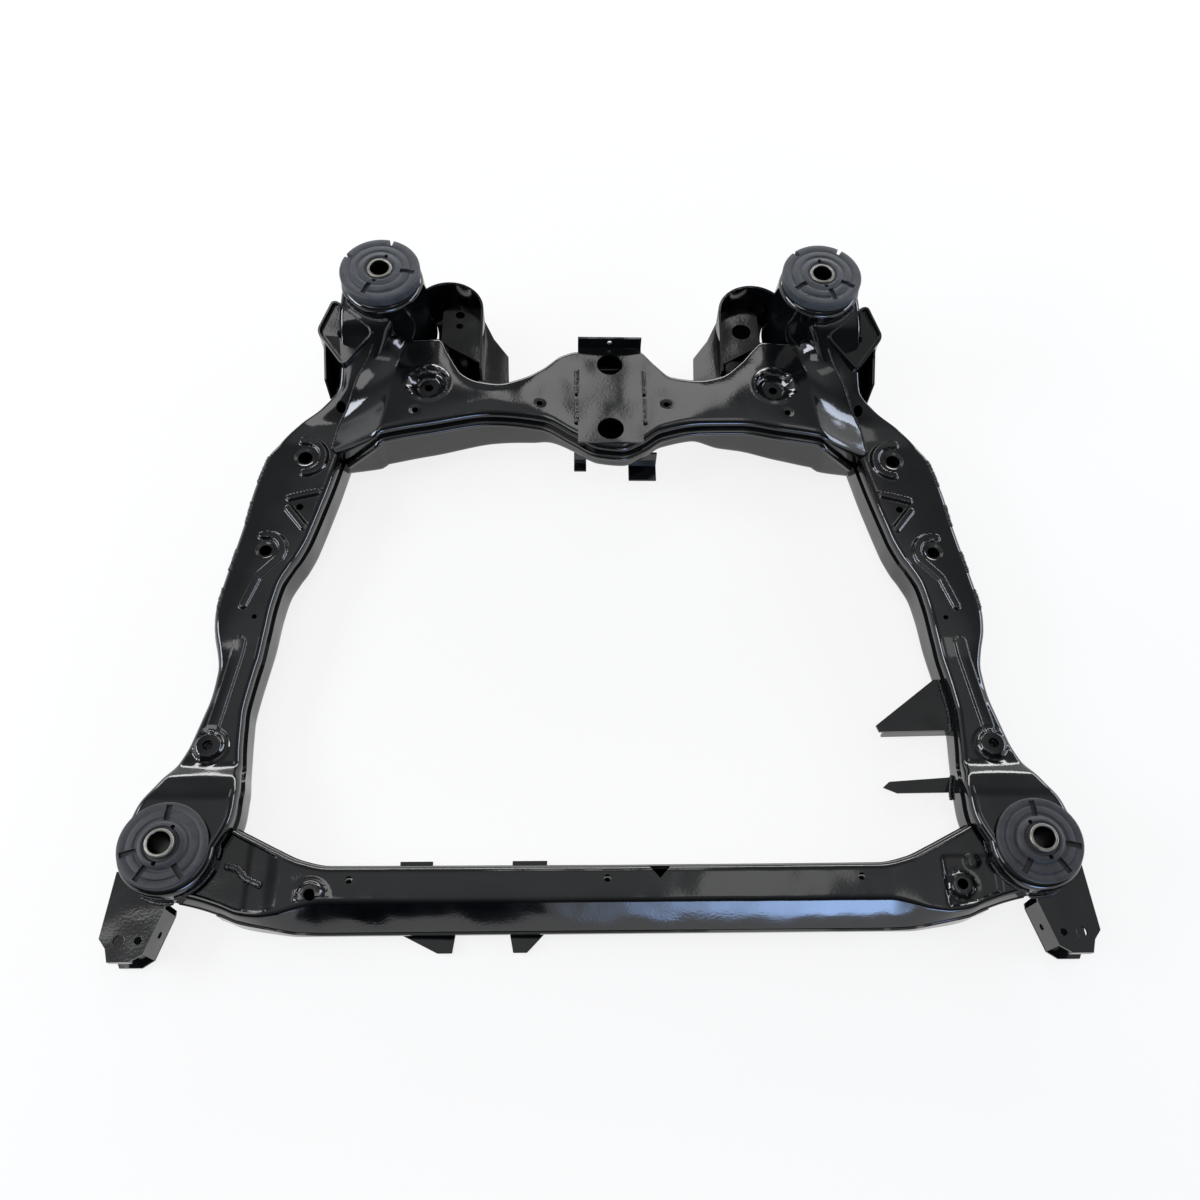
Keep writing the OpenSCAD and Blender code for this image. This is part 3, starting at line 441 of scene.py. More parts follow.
def revolve(name, profile, centre, facets=96):
    """A closed ring from a closed radial profile of (r, z), anticlockwise with r to the right."""
    n = len(profile)
    r, z = np.array(profile, float).T[:, None]
    w = (2 * np.pi * np.arange(facets) / facets)[:, None]
    faces = []
    for i in range(facets):
        here, beyond = i * n, (i + 1) % facets * n
        faces += [(here + j, beyond + j, beyond + (j + 1) % n, here + (j + 1) % n) for j in range(n)]
    points = places(centre[0] + np.cos(w) * r, centre[1] + np.sin(w) * r, centre[2] + z)
    made = thing(name, mesh_of(name, points, faces))
    tidy(made.data)
    return made


def bend(c, r, a0, a1, n=8):
    """Points on an arc about c, for a profile; the angles are in degrees."""
    angles = [math.radians(a0 + (a1 - a0) * k / n) for k in range(n + 1)]
    return [(c[0] + r * math.cos(a), c[1] + r * math.sin(a)) for a in angles]


def tower_room(side):
    """The space of a rear tower, to trim what is welded against it."""
    r, top, depth = PAD_R + GAP, REAR_PAD - EDGE_R, 144.0
    levels = ((r + TOWER_SLOPE * depth, top - depth), (r, top), (r, REAR_PAD + 20))
    return solids("tower_room", [[circle((side * REAR_X, PITCH_Y), reach, z, 96) for reach, z in levels]])


def pad_room(side):
    """The space of a front pad, to trim what is welded round it."""
    return drills([((side * FRONT_X, 0), 2 * (PAD_R + GAP))], -5, 160, 96)


def noise(tree, where, scale, detail, roughness=0.5):
    """Noise over a place; the scale is one over the size of a cloud in metres."""
    inputs = [("Vector", where), ("Scale", scale), ("Detail", detail), ("Roughness", roughness)]
    return add(tree, "ShaderNodeTexNoise", inputs).outputs["Fac"]


def spread(tree, value, given, wanted):
    """A value mapped from one range to another."""
    ends = [("From Min", given[0]), ("From Max", given[1]), ("To Min", wanted[0]), ("To Max", wanted[1])]
    return add(tree, "ShaderNodeMapRange", [("Value", value)] + ends).outputs[0]


# Cathodic dip coat on deep drawn steel: about 20 micrometres of black epoxy that takes a high gloss.
# It shows the sheet's slight waves, a fine orange peel and a little dust haze.
def dip_coat(name, base, haze, gloss):
    made, tree = blank(name)
    where = add(tree, "ShaderNodeTexCoord").outputs["Object"]
    # clouds about 45 mm across vary the gloss
    cloud = noise(tree, where, 22.0, 4.0, 0.6)
    fine = noise(tree, where, 260.0, 3.0, 0.7)
    colour = ramp(tree, cloud, [(0.35, tone(base)), (0.75, tone(haze))])
    rough = spread(tree, cloud, (0.3, 0.7), (gloss, gloss + 0.06))
    speck = spread(tree, fine, (0.55, 0.75), (0.0, 0.04))
    rough = add(tree, "ShaderNodeMath", [(0, rough), (1, speck)], operation="ADD")
    # orange peel about 3 mm across, drawn coarser than real so that it shows, over 60 mm sheet waves
    peel = noise(tree, where, 330.0, 2.0)
    wave = noise(tree, where, 16.0, 1.0)
    ripple = add(tree, "ShaderNodeBump", [("Height", wave), ("Strength", 0.1), ("Distance", 0.02)])
    inputs = [("Height", peel), ("Strength", 0.05), ("Distance", 0.001), ("Normal", ripple)]
    ripple = add(tree, "ShaderNodeBump", inputs)
    inputs = [("Base Color", colour), ("Roughness", rough), ("Normal", ripple), ("IOR", 1.6)]
    add(tree, "ShaderNodeOutputMaterial", [("Surface", add(tree, "ShaderNodeBsdfPrincipled", inputs))])
    return made


dip_black = dip_coat("dip_coat_on_pressed_steel", "#060709", "#0c0d0f", 0.06)


def done(made, material, *nodes):
    """Finish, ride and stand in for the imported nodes."""
    made.data.materials.clear()
    made.data.materials.append(material)
    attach(made, "root")
    if nodes:
        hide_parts(*nodes)


UP, DOWN = (0, 0, 1), (0, 0, -1)


def pressing(name, surface, outward, cutters, node):
    """A coated sheet from the points and faces of its outer side, trimmed and holed by cutters."""
    made = thing(name, mesh_of(name, *surface))
    sheet(made, SHEET, outward)
    cut(made, *cutters)
    smooth(made)
    done(made, dip_black, node)


SIDES = {"left": -1, "right": 1}
STATIONS = np.concatenate([np.linspace(0, 18, 56, endpoint=False), np.linspace(18, 78, 340, endpoint=False),
                           np.linspace(78, 99, 64)])
WALL_N, BEND_N, TOP_N = 6, 7, 67  # columns over a wall, a bend and the top


def rail_upper(side):
    """Points and faces of a rail's top sheet with the round step of its front mount."""
    s = STATIONS
    top = curve(s, RAIL_TOP)
    lip = top - curve(s, RAIL_WALL)
    inner, outer = rail_x(s, RAIL_INNER), rail_x(s, RAIL_OUTER)
    x, z, across = channel(inner, outer, top, lip, lip, EDGE_R, (WALL_N, BEND_N, TOP_N))
    y = (s * PITCH_Y / 100)[:, None]
    # the top domes by 1.5 mm behind the front mount
    z = z + np.where(across < 0, 0, rail_relief(x, y)) + crown(across, 1.5 * step((s - 9) / 6)[:, None])
    body, faces = net(x, y, z)
    # the step is the outer half of the first section, turned about the mount's axis
    half = WALL_N + BEND_N + TOP_N // 2 + 1
    section = body[0, :half]
    w = np.radians(np.linspace(0, -180, 73))[:, None]
    reach = (section[:, 0] - FRONT_X)[None]
    pad = places(FRONT_X + reach * np.cos(w), reach * np.sin(w), section[None, :, 2])
    points = np.concatenate([body.reshape(-1, 3), pad.reshape(-1, 3)])
    points[:, 0] *= side
    return points, faces + grid_faces(*pad.shape[:2], start=body.shape[0] * body.shape[1])


for word, side in SIDES.items():
    holes = drills([((side * c[0], c[1]), d) for c, d in RAIL_HOLES], 30, 140)
    can_hole = drills([((side * FRONT_X, 0), 2 * CAN_HOLE_R)], 60, 90, 96)
    cutters = [holes, tower_room(side), can_hole]
    pressing(f"{word}_rail_top_sheet", rail_upper(side), UP, cutters, f"{word}_rail_upper")


# Rails, lower pressings: plain channels that close the rails from below. Their walls lap 10 mm over
# the upper sheet and are stitch welded along both edges.
for word, side in SIDES.items():
    s = np.linspace(3, 96, 190)
    lip = curve(s, RAIL_TOP) - curve(s, RAIL_WALL) + LAP
    inner, outer = rail_x(s, RAIL_INNER) - SHEET - GAP, rail_x(s, RAIL_OUTER) + SHEET + GAP
    x, z, _ = channel(inner, outer, curve(s, RAIL_FLOOR), lip, lip, EDGE_R, (6, 7, 24))
    surface = net(side * x, (s * PITCH_Y / 100)[:, None], z)
    cutters = [pad_room(side), tower_room(side), drills([((side * BOLT[0], BOLT[1]), BOLT_D)], -5, 30)]
    pressing(f"{word}_rail_bottom_sheet", surface, DOWN, cutters, f"{word}_rail_lower")


# Front crossmember: a flat-topped hat section with a sloping nose, pressed from 2.5 mm steel and closed
# below by a shallow tray. Its ends flare back and are welded round the front pads.
CM_Z, CM_FLOOR, CM_WALL = 58.0, 7.0, 26.0  # heights of the top and the floor, and of the rear wall
CM_SET, CM_TOP, CM_SLOPE = 17.0, 35.0, 29.0  # set-back from the mounts' axes, depth of top and slope
SLOPE_RUN = CM_SLOPE - 3.5  # from the nose back to the crease
NOSE_Z, NOSE_R = 22.0, 3.5
NOSE_TOP = CM_Z - 12  # the height that the nose nears where the slope fades out
NOSE_LIP = CM_FLOOR + EDGE_R + GAP
# tables by distance from the middle: how far the rear edge swings back, how much of the slope is left,
# and how far the nose swings back
CM_ENDS = [(0, 0), (300, 1), (330, 7), (357, 19), (375, 28), (393, 37), (420, 50), (480, 60)]
SLOPE_SHARE = [(0, 1), (305, 1), (328, 0.82), (350, 0.48), (372, 0.22), (390, 0.17), (480, 0.17)]
NOSE_ENDS = [(0, 0), (330, 0), (365, 4), (392, 9), (410, 16), (435, 24), (480, 34)]
LEFT_COLLAR, RIGHT_COLLAR = (-316.0, -48.0), (385.0, -42.0)
RECESS, RECESS_HALF, BOSS = (397, -38), (26, 24), (400, -17)
NOTCH = [(45, -19), (57, -33), (69, -19)]
NUT_X, NUT_Y = (-276, 0, 276), -CM_SET - EDGE_R - 6.5
FRONT_WALL_N, FRONT_BEND_N, FRONT_TOP_N = 7, 8, 26  # columns over the rear wall, its bend and the top


def rail_room(side):
    """The space of a rail's front with its lower pressing, to trim what is welded against it."""
    s = np.arange(0, 15.1, 1.0)
    grow = SHEET + 2 * GAP
    a, b = side * (rail_x(s, RAIL_INNER) - grow), side * (rail_x(s, RAIL_OUTER) + grow)
    y, low, high = s * PITCH_Y / 100, 0 * s - 5, 0 * s + 300
    points = np.array([(b, y, low), (b, y, high), (a, y, high), (a, y, low)]).transpose(2, 0, 1)
    made = solids("rail_room", [points])
    tidy(made.data)
    return made


def end_rooms():
    """The spaces of both front pads and both rails, to trim the crossmember's ends."""
    return pad_room(-1), pad_room(1), rail_room(-1), rail_room(1)


def nose_y(x):
    """The front edge."""
    return curve(np.abs(x), NOSE_ENDS) - CM_SET - CM_TOP - CM_SLOPE


def back_y(x):
    """The rear edge."""
    return curve(np.abs(x), CM_ENDS) - CM_SET


def nose_height(x):
    """Height of the front edge, which rises where the slope fades out."""
    return NOSE_TOP - (NOSE_TOP - NOSE_Z) * curve(np.abs(x), SLOPE_SHARE)


def front_relief(x, y):
    """Collars and the pressed recess of the front crossmember's top."""
    # the right collar stands in a shallow recess, with a small boss behind it
    off = np.hypot(np.maximum(np.abs(x - RECESS[0]) - RECESS_HALF[0], 0),
                   np.maximum(np.abs(y - RECESS[1]) - RECESS_HALF[1], 0))
    heights = -2.4 * step((6 - off) / 5) + 2.6 * step((9 - np.hypot(x - BOSS[0], y - BOSS[1])) / 4)
    for c in (LEFT_COLLAR, RIGHT_COLLAR):
        away = np.hypot(x - c[0], y - c[1])
        heights = heights + 3.4 * step((15 - away) / 4) - 1.2 * step((20 - away) / 3) * step((away - 14) / 3)
    # the left end is set lower where it laps over the pad's bracket
    return heights - 2.6 * step((-x - 350) / 18) - 1.2 * step((-x - 380) / 9)


x = np.linspace(-465, 465, 373)
yb, yn = back_y(x)[:, None], nose_y(x)[:, None]
share = curve(np.abs(x), SLOPE_SHARE)[:, None]
crease = yn + SLOPE_RUN * share
nose_z = nose_height(x)[:, None]
sag = 2.0 * share  # the top dips a little towards the crease
pitch = np.arctan2(CM_Z - sag - nose_z, SLOPE_RUN * share)
lean = np.arctan2(2 * sag, yb - EDGE_R - crease)
soft = 4 + 8 * share  # radius of the crease
corner = crease + soft * np.tan((pitch - lean) / 2)
# the section from the rear wall's lip over its bend and the top
w = np.linspace(0, 1, FRONT_WALL_N, endpoint=False)[None]
q = np.radians(np.linspace(0, 90, FRONT_BEND_N, endpoint=False))[None]
t = np.linspace(0, 1, FRONT_TOP_N, endpoint=False)[None]
ys = [yb + 0 * w, yb - EDGE_R + EDGE_R * np.cos(q), yb - EDGE_R + (corner - yb + EDGE_R) * t]
zs = [CM_Z - CM_WALL + (CM_WALL - EDGE_R) * w + 0 * yb, CM_Z - EDGE_R + EDGE_R * np.sin(q) + 0 * yb,
      CM_Z - sag * t**2]
# then the crease
p = lean + (pitch - lean) * np.linspace(0, 1, 12, endpoint=False)[None]
ys.append(corner - soft * (np.sin(p) - np.sin(lean)))
zs.append(CM_Z - sag - soft * (np.cos(lean) - np.cos(p)))
# then the slope, bellied by a third of a millimetre
start_y = corner - soft * (np.sin(pitch) - np.sin(lean))
start_z = CM_Z - sag - soft * (np.cos(lean) - np.cos(pitch))
end_y, end_z = yn + NOSE_R * (1 - np.sin(pitch)), nose_z + NOSE_R * np.cos(pitch)
run = np.linspace(0, 1, 16, endpoint=False)[None]
belly = 0.35 * share * 4 * run * (1 - run)
ys.append(start_y + (end_y - start_y) * run - belly * np.sin(pitch))
zs.append(start_z + (end_z - start_z) * run + belly * np.cos(pitch))
# and last the nose and its lip
p = pitch + (math.pi / 2 - pitch) * np.linspace(0, 1, 6, endpoint=False)[None]
ys.append(yn + NOSE_R - NOSE_R * np.sin(p))
zs.append(nose_z + NOSE_R * np.cos(p))
lip = np.linspace(0, 1, 4)[None]
ys.append(yn + 0 * lip)
zs.append(nose_z + (NOSE_LIP - NOSE_Z) * lip)
y, z = np.concatenate(ys, axis=1), np.concatenate(zs, axis=1)
column = np.arange(y.shape[1]) - FRONT_WALL_N - FRONT_BEND_N
on_top = (column >= 0) & (column < FRONT_TOP_N)
z = z + np.where(on_top[None], front_relief(x[:, None], y), 0)
notch = solids("notch", [[[(*point, height) for point in NOTCH] for height in (45, 70)]])
holes = [(LEFT_COLLAR, 12), (RIGHT_COLLAR, 12)] + [((nut, NUT_Y), 8) for nut in NUT_X]
cutters = [drills(holes, 30, 80), notch, *end_rooms()]
pressing("front_crossmember_top_sheet", net(x[:, None], y, z), UP, cutters, "front_crossmember_upper")

x = np.linspace(-416, 416, 150)
front_lip = nose_height(x) - NOSE_Z + NOSE_LIP + 4
y, z, _ = channel(nose_y(x) - SHEET - GAP, back_y(x) + SHEET + GAP, 0 * x + CM_FLOOR,
                  front_lip, 0 * x + CM_Z - CM_WALL + LAP, EDGE_R, (6, 7, 16))
pressing("front_crossmember_tray", net(x[:, None], y, z), DOWN, end_rooms(), "front_crossmember_lower")


# Rear crossmember: a wide waved bridge between the towers, with a lobe in the middle and a stepped
# dish round each steering gear bolt. The top sheet's ends fall from a soft ridge and lap over the
# rails, and a tray welded to the rails' inner walls closes it from below.
REAR_Z, REAR_WALL, REAR_FOOT = 108.0, 22.0, 50.0  # heights of the top, its wall and the ends' foot
REAR_OVER = 16.0  # how far the top sheet laps over the rails
RIDGE_FRONT, RIDGE_BACK = 277, 255  # distance of the ridge from the middle, at its two ends
# tables by share of the way from the middle to the ridge, in hundredths, and on to the foot at 200:
# the front and the rear edge from the rear mounts' axes, and the height of the underside
REAR_FRONT = [(-200, -194), (-117, -197), (-81, -180), (-51, -165), (-28, -172), (-13.5, -195),
              (-1.5, -214), (9, -217), (18, -206), (27.5, -188), (46, -177), (64, -176), (84, -185),
              (117, -197), (200, -194)]
REAR_BACK = [(-200, -70), (-98.5, -45), (-83.5, -42), (-77, -66), (-68, -99), (-60, -110), (-50, -114),
             (-38, -104), (-29, -89), (-20, -68), (-12, -61), (19, -60), (26, -80), (34, -101), (47, -106),
             (58, -100), (70, -76), (77, -56), (83.5, -42), (98.5, -45), (200, -70)]
REAR_UNDER = [(-200, 12), (-98.5, 30), (-68, 34), (-34, 48), (-13.5, 66), (7.5, 66), (41, 66), (56, 48),
              (86, 34), (98.5, 30), (200, 12)]
GEAR_X, GEAR_Y, GEAR_D, DISH_R = 222.0, PITCH_Y - 119, 11, 30.0
GEAR_HOLES = [((-GEAR_X, GEAR_Y), GEAR_D), ((GEAR_X, GEAR_Y), GEAR_D)]
LUGS = [(-236, 549), (236, 549), (-80, 561), (82, 561)]
PLATE_X, PLATE_HOLES = 10.0, (621.0, 520.0)


def rear_y(u, table):
    """An edge in plan; u is 0 in the middle, 1 at the ridge and 2 at the foot."""
    return PITCH_Y + curve(u * 100, table)


def foot_z(y):
    """Height at which the rear crossmember's tray meets the rails' inner walls."""
    return np.clip(curve(station(y), RAIL_TOP) - 9, REAR_FOOT, REAR_Z - 4)


def lap_z(y):
    """Height of the top sheet's ends, which lap over the rails."""
    return curve(station(y), RAIL_TOP) + 1.2


def fall(u):
    """Share of the way down from the ridge at u = 1 to the foot at u = 2, rounded at the ridge."""
    t, soft = np.abs(u) - 1, 0.1
    return np.where(t < -soft, 0, np.where(t > soft, t, (t + soft) ** 2 / (4 * soft)))


def rear_top(u):
    """Height of the top before its ends are fitted to the rails."""
    return REAR_Z + (REAR_FOOT - REAR_Z) * fall(u)


def ridge_x(y):
    """Distance of the ridge from the middle."""
    front, back = rear_y(1.0, REAR_FRONT), rear_y(1.0, REAR_BACK)
    return RIDGE_FRONT + (RIDGE_BACK - RIDGE_FRONT) * (y - front) / (back - front)


def rear_x(u, y, over=0.0):
    """Place across; the foot lies on the rail's inner wall, or so far over the rail."""
    foot = rail_x(station(y), RAIL_INNER) - SHEET - 2 * GAP + over
    out = np.sign(u) * (ridge_x(y) + (foot - ridge_x(y)) * (np.abs(u) - 1))
    return np.where(np.abs(u) <= 1, u * ridge_x(y), out)


def rear_relief(x, y):
    """Stepped dishes round the steering gear bolts, and sunk rims of the small holes."""
    heights = 0 * x
    for s in (-1, 1):
        away = np.hypot(x - s * GEAR_X, y - GEAR_Y)
        heights = heights + 1.6 * step((DISH_R - away) / 4) - 5.6 * step((25.5 - away) / 3.5)
        heights = heights - 7.5 * step((21 - away) / 7)
    for c in LUGS:
        heights = heights - 0.8 * step((8 - np.hypot(x - c[0], y - c[1])) / 4)
    return heights


def rear_sheet(u, web, lip, grow, counts, is_top):
    """Points and faces of the top sheet or of the tray."""
    front, back = rear_y(u, REAR_FRONT) - grow, rear_y(u, REAR_BACK) + grow
    y, z, across = channel(front, back, web, lip, lip, EDGE_R, counts)
    u = u[:, None]
    x = rear_x(u, y, REAR_OVER if is_top else 0.0)
    # the ends follow the rails upwards: the top sheet as a whole, the tray by its lips
    share = 1 if is_top else np.clip((z - web[:, None]) / (lip - web)[:, None], 0, 1)
    z = z + ((lap_z(y) if is_top else foot_z(y)) - REAR_FOOT) * fall(u) * share
    if is_top:
        # the top domes by 2 mm between the centre plate and the ridge
        beside = step((np.abs(x - PLATE_X) - 40) / 130) * step((1 - np.abs(u)) / 0.2)
        z = z + np.where(across < 0, 0, rear_relief(x, y)) + crown(across, 2.0 * beside)
    return net(x, y, z)


u = np.concatenate([np.linspace(-2, -1.12, 16), np.linspace(-1.1, -0.9, 13), np.linspace(-0.89, 0.89, 221),
                    np.linspace(0.9, 1.1, 13), np.linspace(1.12, 2, 16)])
surface = rear_sheet(u, rear_top(u), rear_top(u) - REAR_WALL, 0, (6, 8, 66), True)
holes = GEAR_HOLES + [(c, 8) for c in LUGS] + [((PLATE_X, h), 33) for h in PLATE_HOLES]
cutters = [drills(holes, 85, 130), tower_room(-1), tower_room(1)]
pressing("rear_crossmember_top_sheet", surface, UP, cutters, "rear_crossmember_upper")

u = np.concatenate([np.linspace(-2, -1.05, 12), np.linspace(-1, 1, 151), np.linspace(1.05, 2, 12)])
under, lip = curve(u * 100, REAR_UNDER), rear_top(u) - REAR_WALL + LAP
surface = rear_sheet(u, under, lip, SHEET + GAP, (7, 7, 26), False)
cutters = [tower_room(-1), tower_room(1), drills(GEAR_HOLES, 0, 60)]
pressing("rear_crossmember_tray", surface, DOWN, cutters, "rear_crossmember_lower")


# Rear towers: cans drawn from sheet steel that lift the rear mounts above the rails. They flare at the
# foot and are welded to the rails and the rear crossmember before the dip coat.
for word, side in SIDES.items():
    corner = (PAD_R - EDGE_R, -EDGE_R)
    foot_r, waist_r, waist = PAD_R + TOWER_FLARE, PAD_R + TOWER_FLARE / 2, 56
    profile = [(CAN_HOLE_R, -SHEET), (CAN_HOLE_R, 0)] + bend(corner, EDGE_R, 90, 0)
    profile += [(waist_r, -waist), (foot_r, -TOWER_H), (foot_r - SHEET, -TOWER_H), (waist_r - SHEET, -waist)]
    profile += bend(corner, EDGE_R - SHEET, 0, 90)
    made = revolve(f"{word}_tower_can", profile[::-1], (side * REAR_X, PITCH_Y, REAR_PAD), 128)
    smooth(made)
    done(made, dip_black, f"{word}_rear_tower")


# Body mount bushings: rubber moulded between a coated steel can and a plain inner sleeve. The flange
# has a raised hub, a groove, radial cuts in its rim and two small vents beside the sleeve.
def moulded_rubber(name, base, dusty):
    """Natural rubber filled with carbon black, matt from the mould and dusty in clouds."""
    made, tree = blank(name)
    where = add(tree, "ShaderNodeTexCoord").outputs["Object"]
    cloud = noise(tree, where, 60.0, 5.0, 0.65)
    colour = ramp(tree, cloud, [(0.35, tone(base)), (0.7, tone(dusty))])
    # moulded grain about 0.8 mm, drawn as coarse as it needs to show
    grain = noise(tree, where, 900.0, 2.0)
    bump = add(tree, "ShaderNodeBump", [("Height", grain), ("Strength", 0.25), ("Distance", 0.0006)])
    rough = spread(tree, cloud, (0.3, 0.7), (0.48, 0.62))
    inputs = [("Base Color", colour), ("Roughness", rough), ("Normal", bump)]
    add(tree, "ShaderNodeOutputMaterial", [("Surface", add(tree, "ShaderNodeBsdfPrincipled", inputs))])
    return made


def turned_steel(name, dark, light):
    """Plain steel as the lathe leaves it, stained in small clouds."""
    made, tree = blank(name)
    where = add(tree, "ShaderNodeTexCoord").outputs["Object"]
    colour = ramp(tree, noise(tree, where, 120.0, 4.0), [(0.0, tone(dark)), (1.0, tone(light))])
    inputs = [("Base Color", colour), ("Metallic", 0.9), ("Roughness", 0.42)]
    add(tree, "ShaderNodeOutputMaterial", [("Surface", add(tree, "ShaderNodeBsdfPrincipled", inputs))])
    return made


# the rear mounts' rubber takes a paler, bluer grey as painted reflection, and the sleeves' bores painted
# shade
rubber = moulded_rubber("moulded_natural_rubber", "#242428", "#35363a")
# painted reflection: a paler, bluer grey for the rear mounts' rubber, standing in for the bluish light its
# flanges mirror
rubber_with_painted_reflection = moulded_rubber("natural_rubber_with_painted_reflection", "#2b2e33", "#3d4249")
steel = turned_steel("turned_sleeve_steel", "#6a6862", "#a3a199")
# painted shade: near-black steel for the bores, standing in for the shade inside them
bore_painted_shade = turned_steel("bore_steel_painted_shade", "#08080a", "#131315")
CAN_R, CAN_WALL, CAN_L, CAN_LIP = 37.0, 2.0, 54.0, 43  # radius, wall, length and lip of a can
SLEEVE_R, BORE_R, SLEEVE_TOP = 15.5, 11.0, 18.0


def bars(centre, angles, r0, r1, width, low, high):
    """Radial cutting bars in one object."""
    stacks = []
    for degrees in angles:
        w = math.radians(degrees)
        along, across = np.array([math.cos(w), math.sin(w), 0]), np.array([-math.sin(w), math.cos(w), 0])
        corners = [along * r + across * s * width / 2 for r, s in ((r0, -1), (r1, -1), (r1, 1), (r0, 1))]
        stacks.append([[corner + centre + (0, 0, h) for corner in corners] for h in (low, high)])
    return solids("bars", stacks)


# per mount: flange radius, height of the ring and of the hub, angles of slots, rim notches and vents
MOUNTS = {
    ("front", "left"): (47.5, 8.0, 13.0, (88, 195, 240, 307), (), (61, 260)),
    ("front", "right"): (47.5, 8.0, 13.0, (94, 350, 305, 235), (), (119, 285)),
    ("rear", "left"): (50.5, 16.0, 18.0, (246, 353), (76, 153), (70, 256)),
    ("rear", "right"): (50.5, 16.0, 18.0, (287, 332, 215), (57, 131), (95, 278)),
}
for word, side in SIDES.items():
    mount_at = {"front": (side * FRONT_X, 0, FRONT_PAD), "rear": (side * REAR_X, PITCH_Y, REAR_PAD)}
    for end, place in mount_at.items():
        flange, ring, hub, slots, notches, vents = MOUNTS[end, word]
        seat, throat = CAN_WALL + 2 * GAP, CAN_R - CAN_WALL - GAP
        # inside the can, up to the flange's underside
        profile = [(SLEEVE_R + GAP, 4 - CAN_L), (28, 4 - CAN_L), (32, -CAN_L / 2), (throat, -CAN_L / 2 + 6),
                   (throat, seat), (flange - 1.5, seat)]
        # the flange's rounded rim and the groove in its top
        profile += bend((flange - 1.5, seat + 1.5), 1.5, -60, 0, 3)
        profile += bend((flange - 2.5, ring - 2.5), 2.5, 0, 80, 5)
        profile += [(41, ring + 0.1), (39.6, ring - 0.5), (38, ring - 0.6)]
        # the raised ring, the hub and its edge beside the sleeve
        profile += bend((36.2, ring + 0.2), 1, 10, 80, 3) + [(31, ring + 1.3)]
        profile += bend((30.4, ring + 0.3), 1, 90, 160, 3) + [(28.4, ring + 0.3), (27, ring + 0.4)]
        profile += [(25.4, ring + (hub - ring) * 0.55), (22.6, hub - 0.4)]
        profile += bend((20.6, hub - 1.3), 1.3, 80, 160, 3) + [(18.2, hub - 2.4), (SLEEVE_R + GAP, hub - 2.4)]
        made = revolve(f"{end}_{word}_mount_rubber", profile, place, 120)
        angles = [math.radians(a) for a in vents]
        holes = [((place[0] + 21 * math.cos(a), place[1] + 21 * math.sin(a)), 5) for a in angles]
        vent_pins = drills(holes, place[2] + 1, place[2] + 40, 24)
        cut(made, bars(place, slots, 26, 44, 6.5, ring - 3.6, 40), vent_pins)
        if notches:
            cut(made, bars(place, notches, 41, 60, 6, 1, 40))
        smooth(made, 40)
        done(made, rubber if end == "front" else rubber_with_painted_reflection, f"{end}_{word}_bushing_rubber")
        rim = [(CAN_R - CAN_WALL, -CAN_L), (CAN_R, -CAN_L), (CAN_R, GAP), (CAN_LIP, GAP)]
        rim += bend((CAN_LIP, GAP + 1), 1, -60, 60, 4)
        rim += [(CAN_LIP, GAP + CAN_WALL), (CAN_R - CAN_WALL, GAP + CAN_WALL)]
        made = revolve(f"{end}_{word}_mount_can", rim, place, 96)
        smooth(made)
        done(made, dip_black, f"{end}_{word}_bushing_can")
        wall = [(BORE_R, -CAN_L + 0.6), (BORE_R + 0.6, -CAN_L), (SLEEVE_R - 0.6, -CAN_L),
                (SLEEVE_R, -CAN_L + 0.6), (SLEEVE_R, SLEEVE_TOP - 1), (SLEEVE_R - 0.6, SLEEVE_TOP - 0.2),
                (SLEEVE_R - 1, SLEEVE_TOP), (BORE_R + 1.8, SLEEVE_TOP), (BORE_R + 1.2, SLEEVE_TOP - 0.6),
                (BORE_R, SLEEVE_TOP - 4)]
        made = revolve(f"{end}_{word}_mount_sleeve", wall, place, 96)
        smooth(made)
        done(made, steel, f"{end}_{word}_bushing_sleeve")
        # faces inside the bore take the near-black steel, painted shade for the dark inside of the bore
        made.data.materials.append(bore_painted_shade)
        axis = Vector((place[0], place[1] - AXIS_Y, 0)) / 1000
        for face in made.data.polygons:
            out = (face.center - axis) * Vector((1, 1, 0))
            if out.length < (BORE_R + 1.4) / 1000 and face.normal.dot(out) < 0:
                face.material_index = 1


# Brackets and plates: blanked and folded sheet, welded on before the dip coat. Their imported solids
# are right, so each is copied, its cut edges are rounded and it takes the coat; the weld nuts stay plain
# steel.
def softened(node, width, material):
    """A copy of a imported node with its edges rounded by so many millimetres."""
    mesh = bpy.data.meshes.new(node + "_piece")
    work = bmesh.new()
    work.from_mesh(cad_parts[node].data)
    bmesh.ops.remove_doubles(work, verts=work.verts, dist=2e-6)
    bmesh.ops.dissolve_limit(work, angle_limit=math.radians(1.0), verts=work.verts, edges=work.edges)
    work.to_mesh(mesh)
    work.free()
    made = thing(node + "_piece", mesh)
    modifier = made.modifiers.new("edges", "BEVEL")
    modifier.width = width / 1000
    modifier.segments = 2
    modifier.limit_method = "ANGLE"
    modifier.angle_limit = math.radians(28)
    plain(made)
    smooth(made, 18)
    done(made, material, node)


for word in SIDES:
    softened(f"{word}_arm_pocket", 0.8, dip_black)
    softened(f"{word}_arm_plate", 0.8, dip_black)
    softened(f"{word}_tower_cup", 0.9, dip_black)
    softened(f"{word}_cup_gusset", 0.7, dip_black)
    softened(f"{word}_radiator_bracket", 0.7, dip_black)
for node in ("centre_plate", "engine_gusset", "engine_tab", "front_outer_strap", "front_inner_strap",
             "line_clip", "hanger_bracket"):
    softened(node, 0.8, dip_black)
for node in ("left_rail_spacer", "right_rail_spacer", "left_gear_spacer", "right_gear_spacer"):
    softened(node, 0.5, dip_black)
for node in ("left_weld_nut", "centre_weld_nut", "right_weld_nut"):
    softened(node, 0.5, steel)


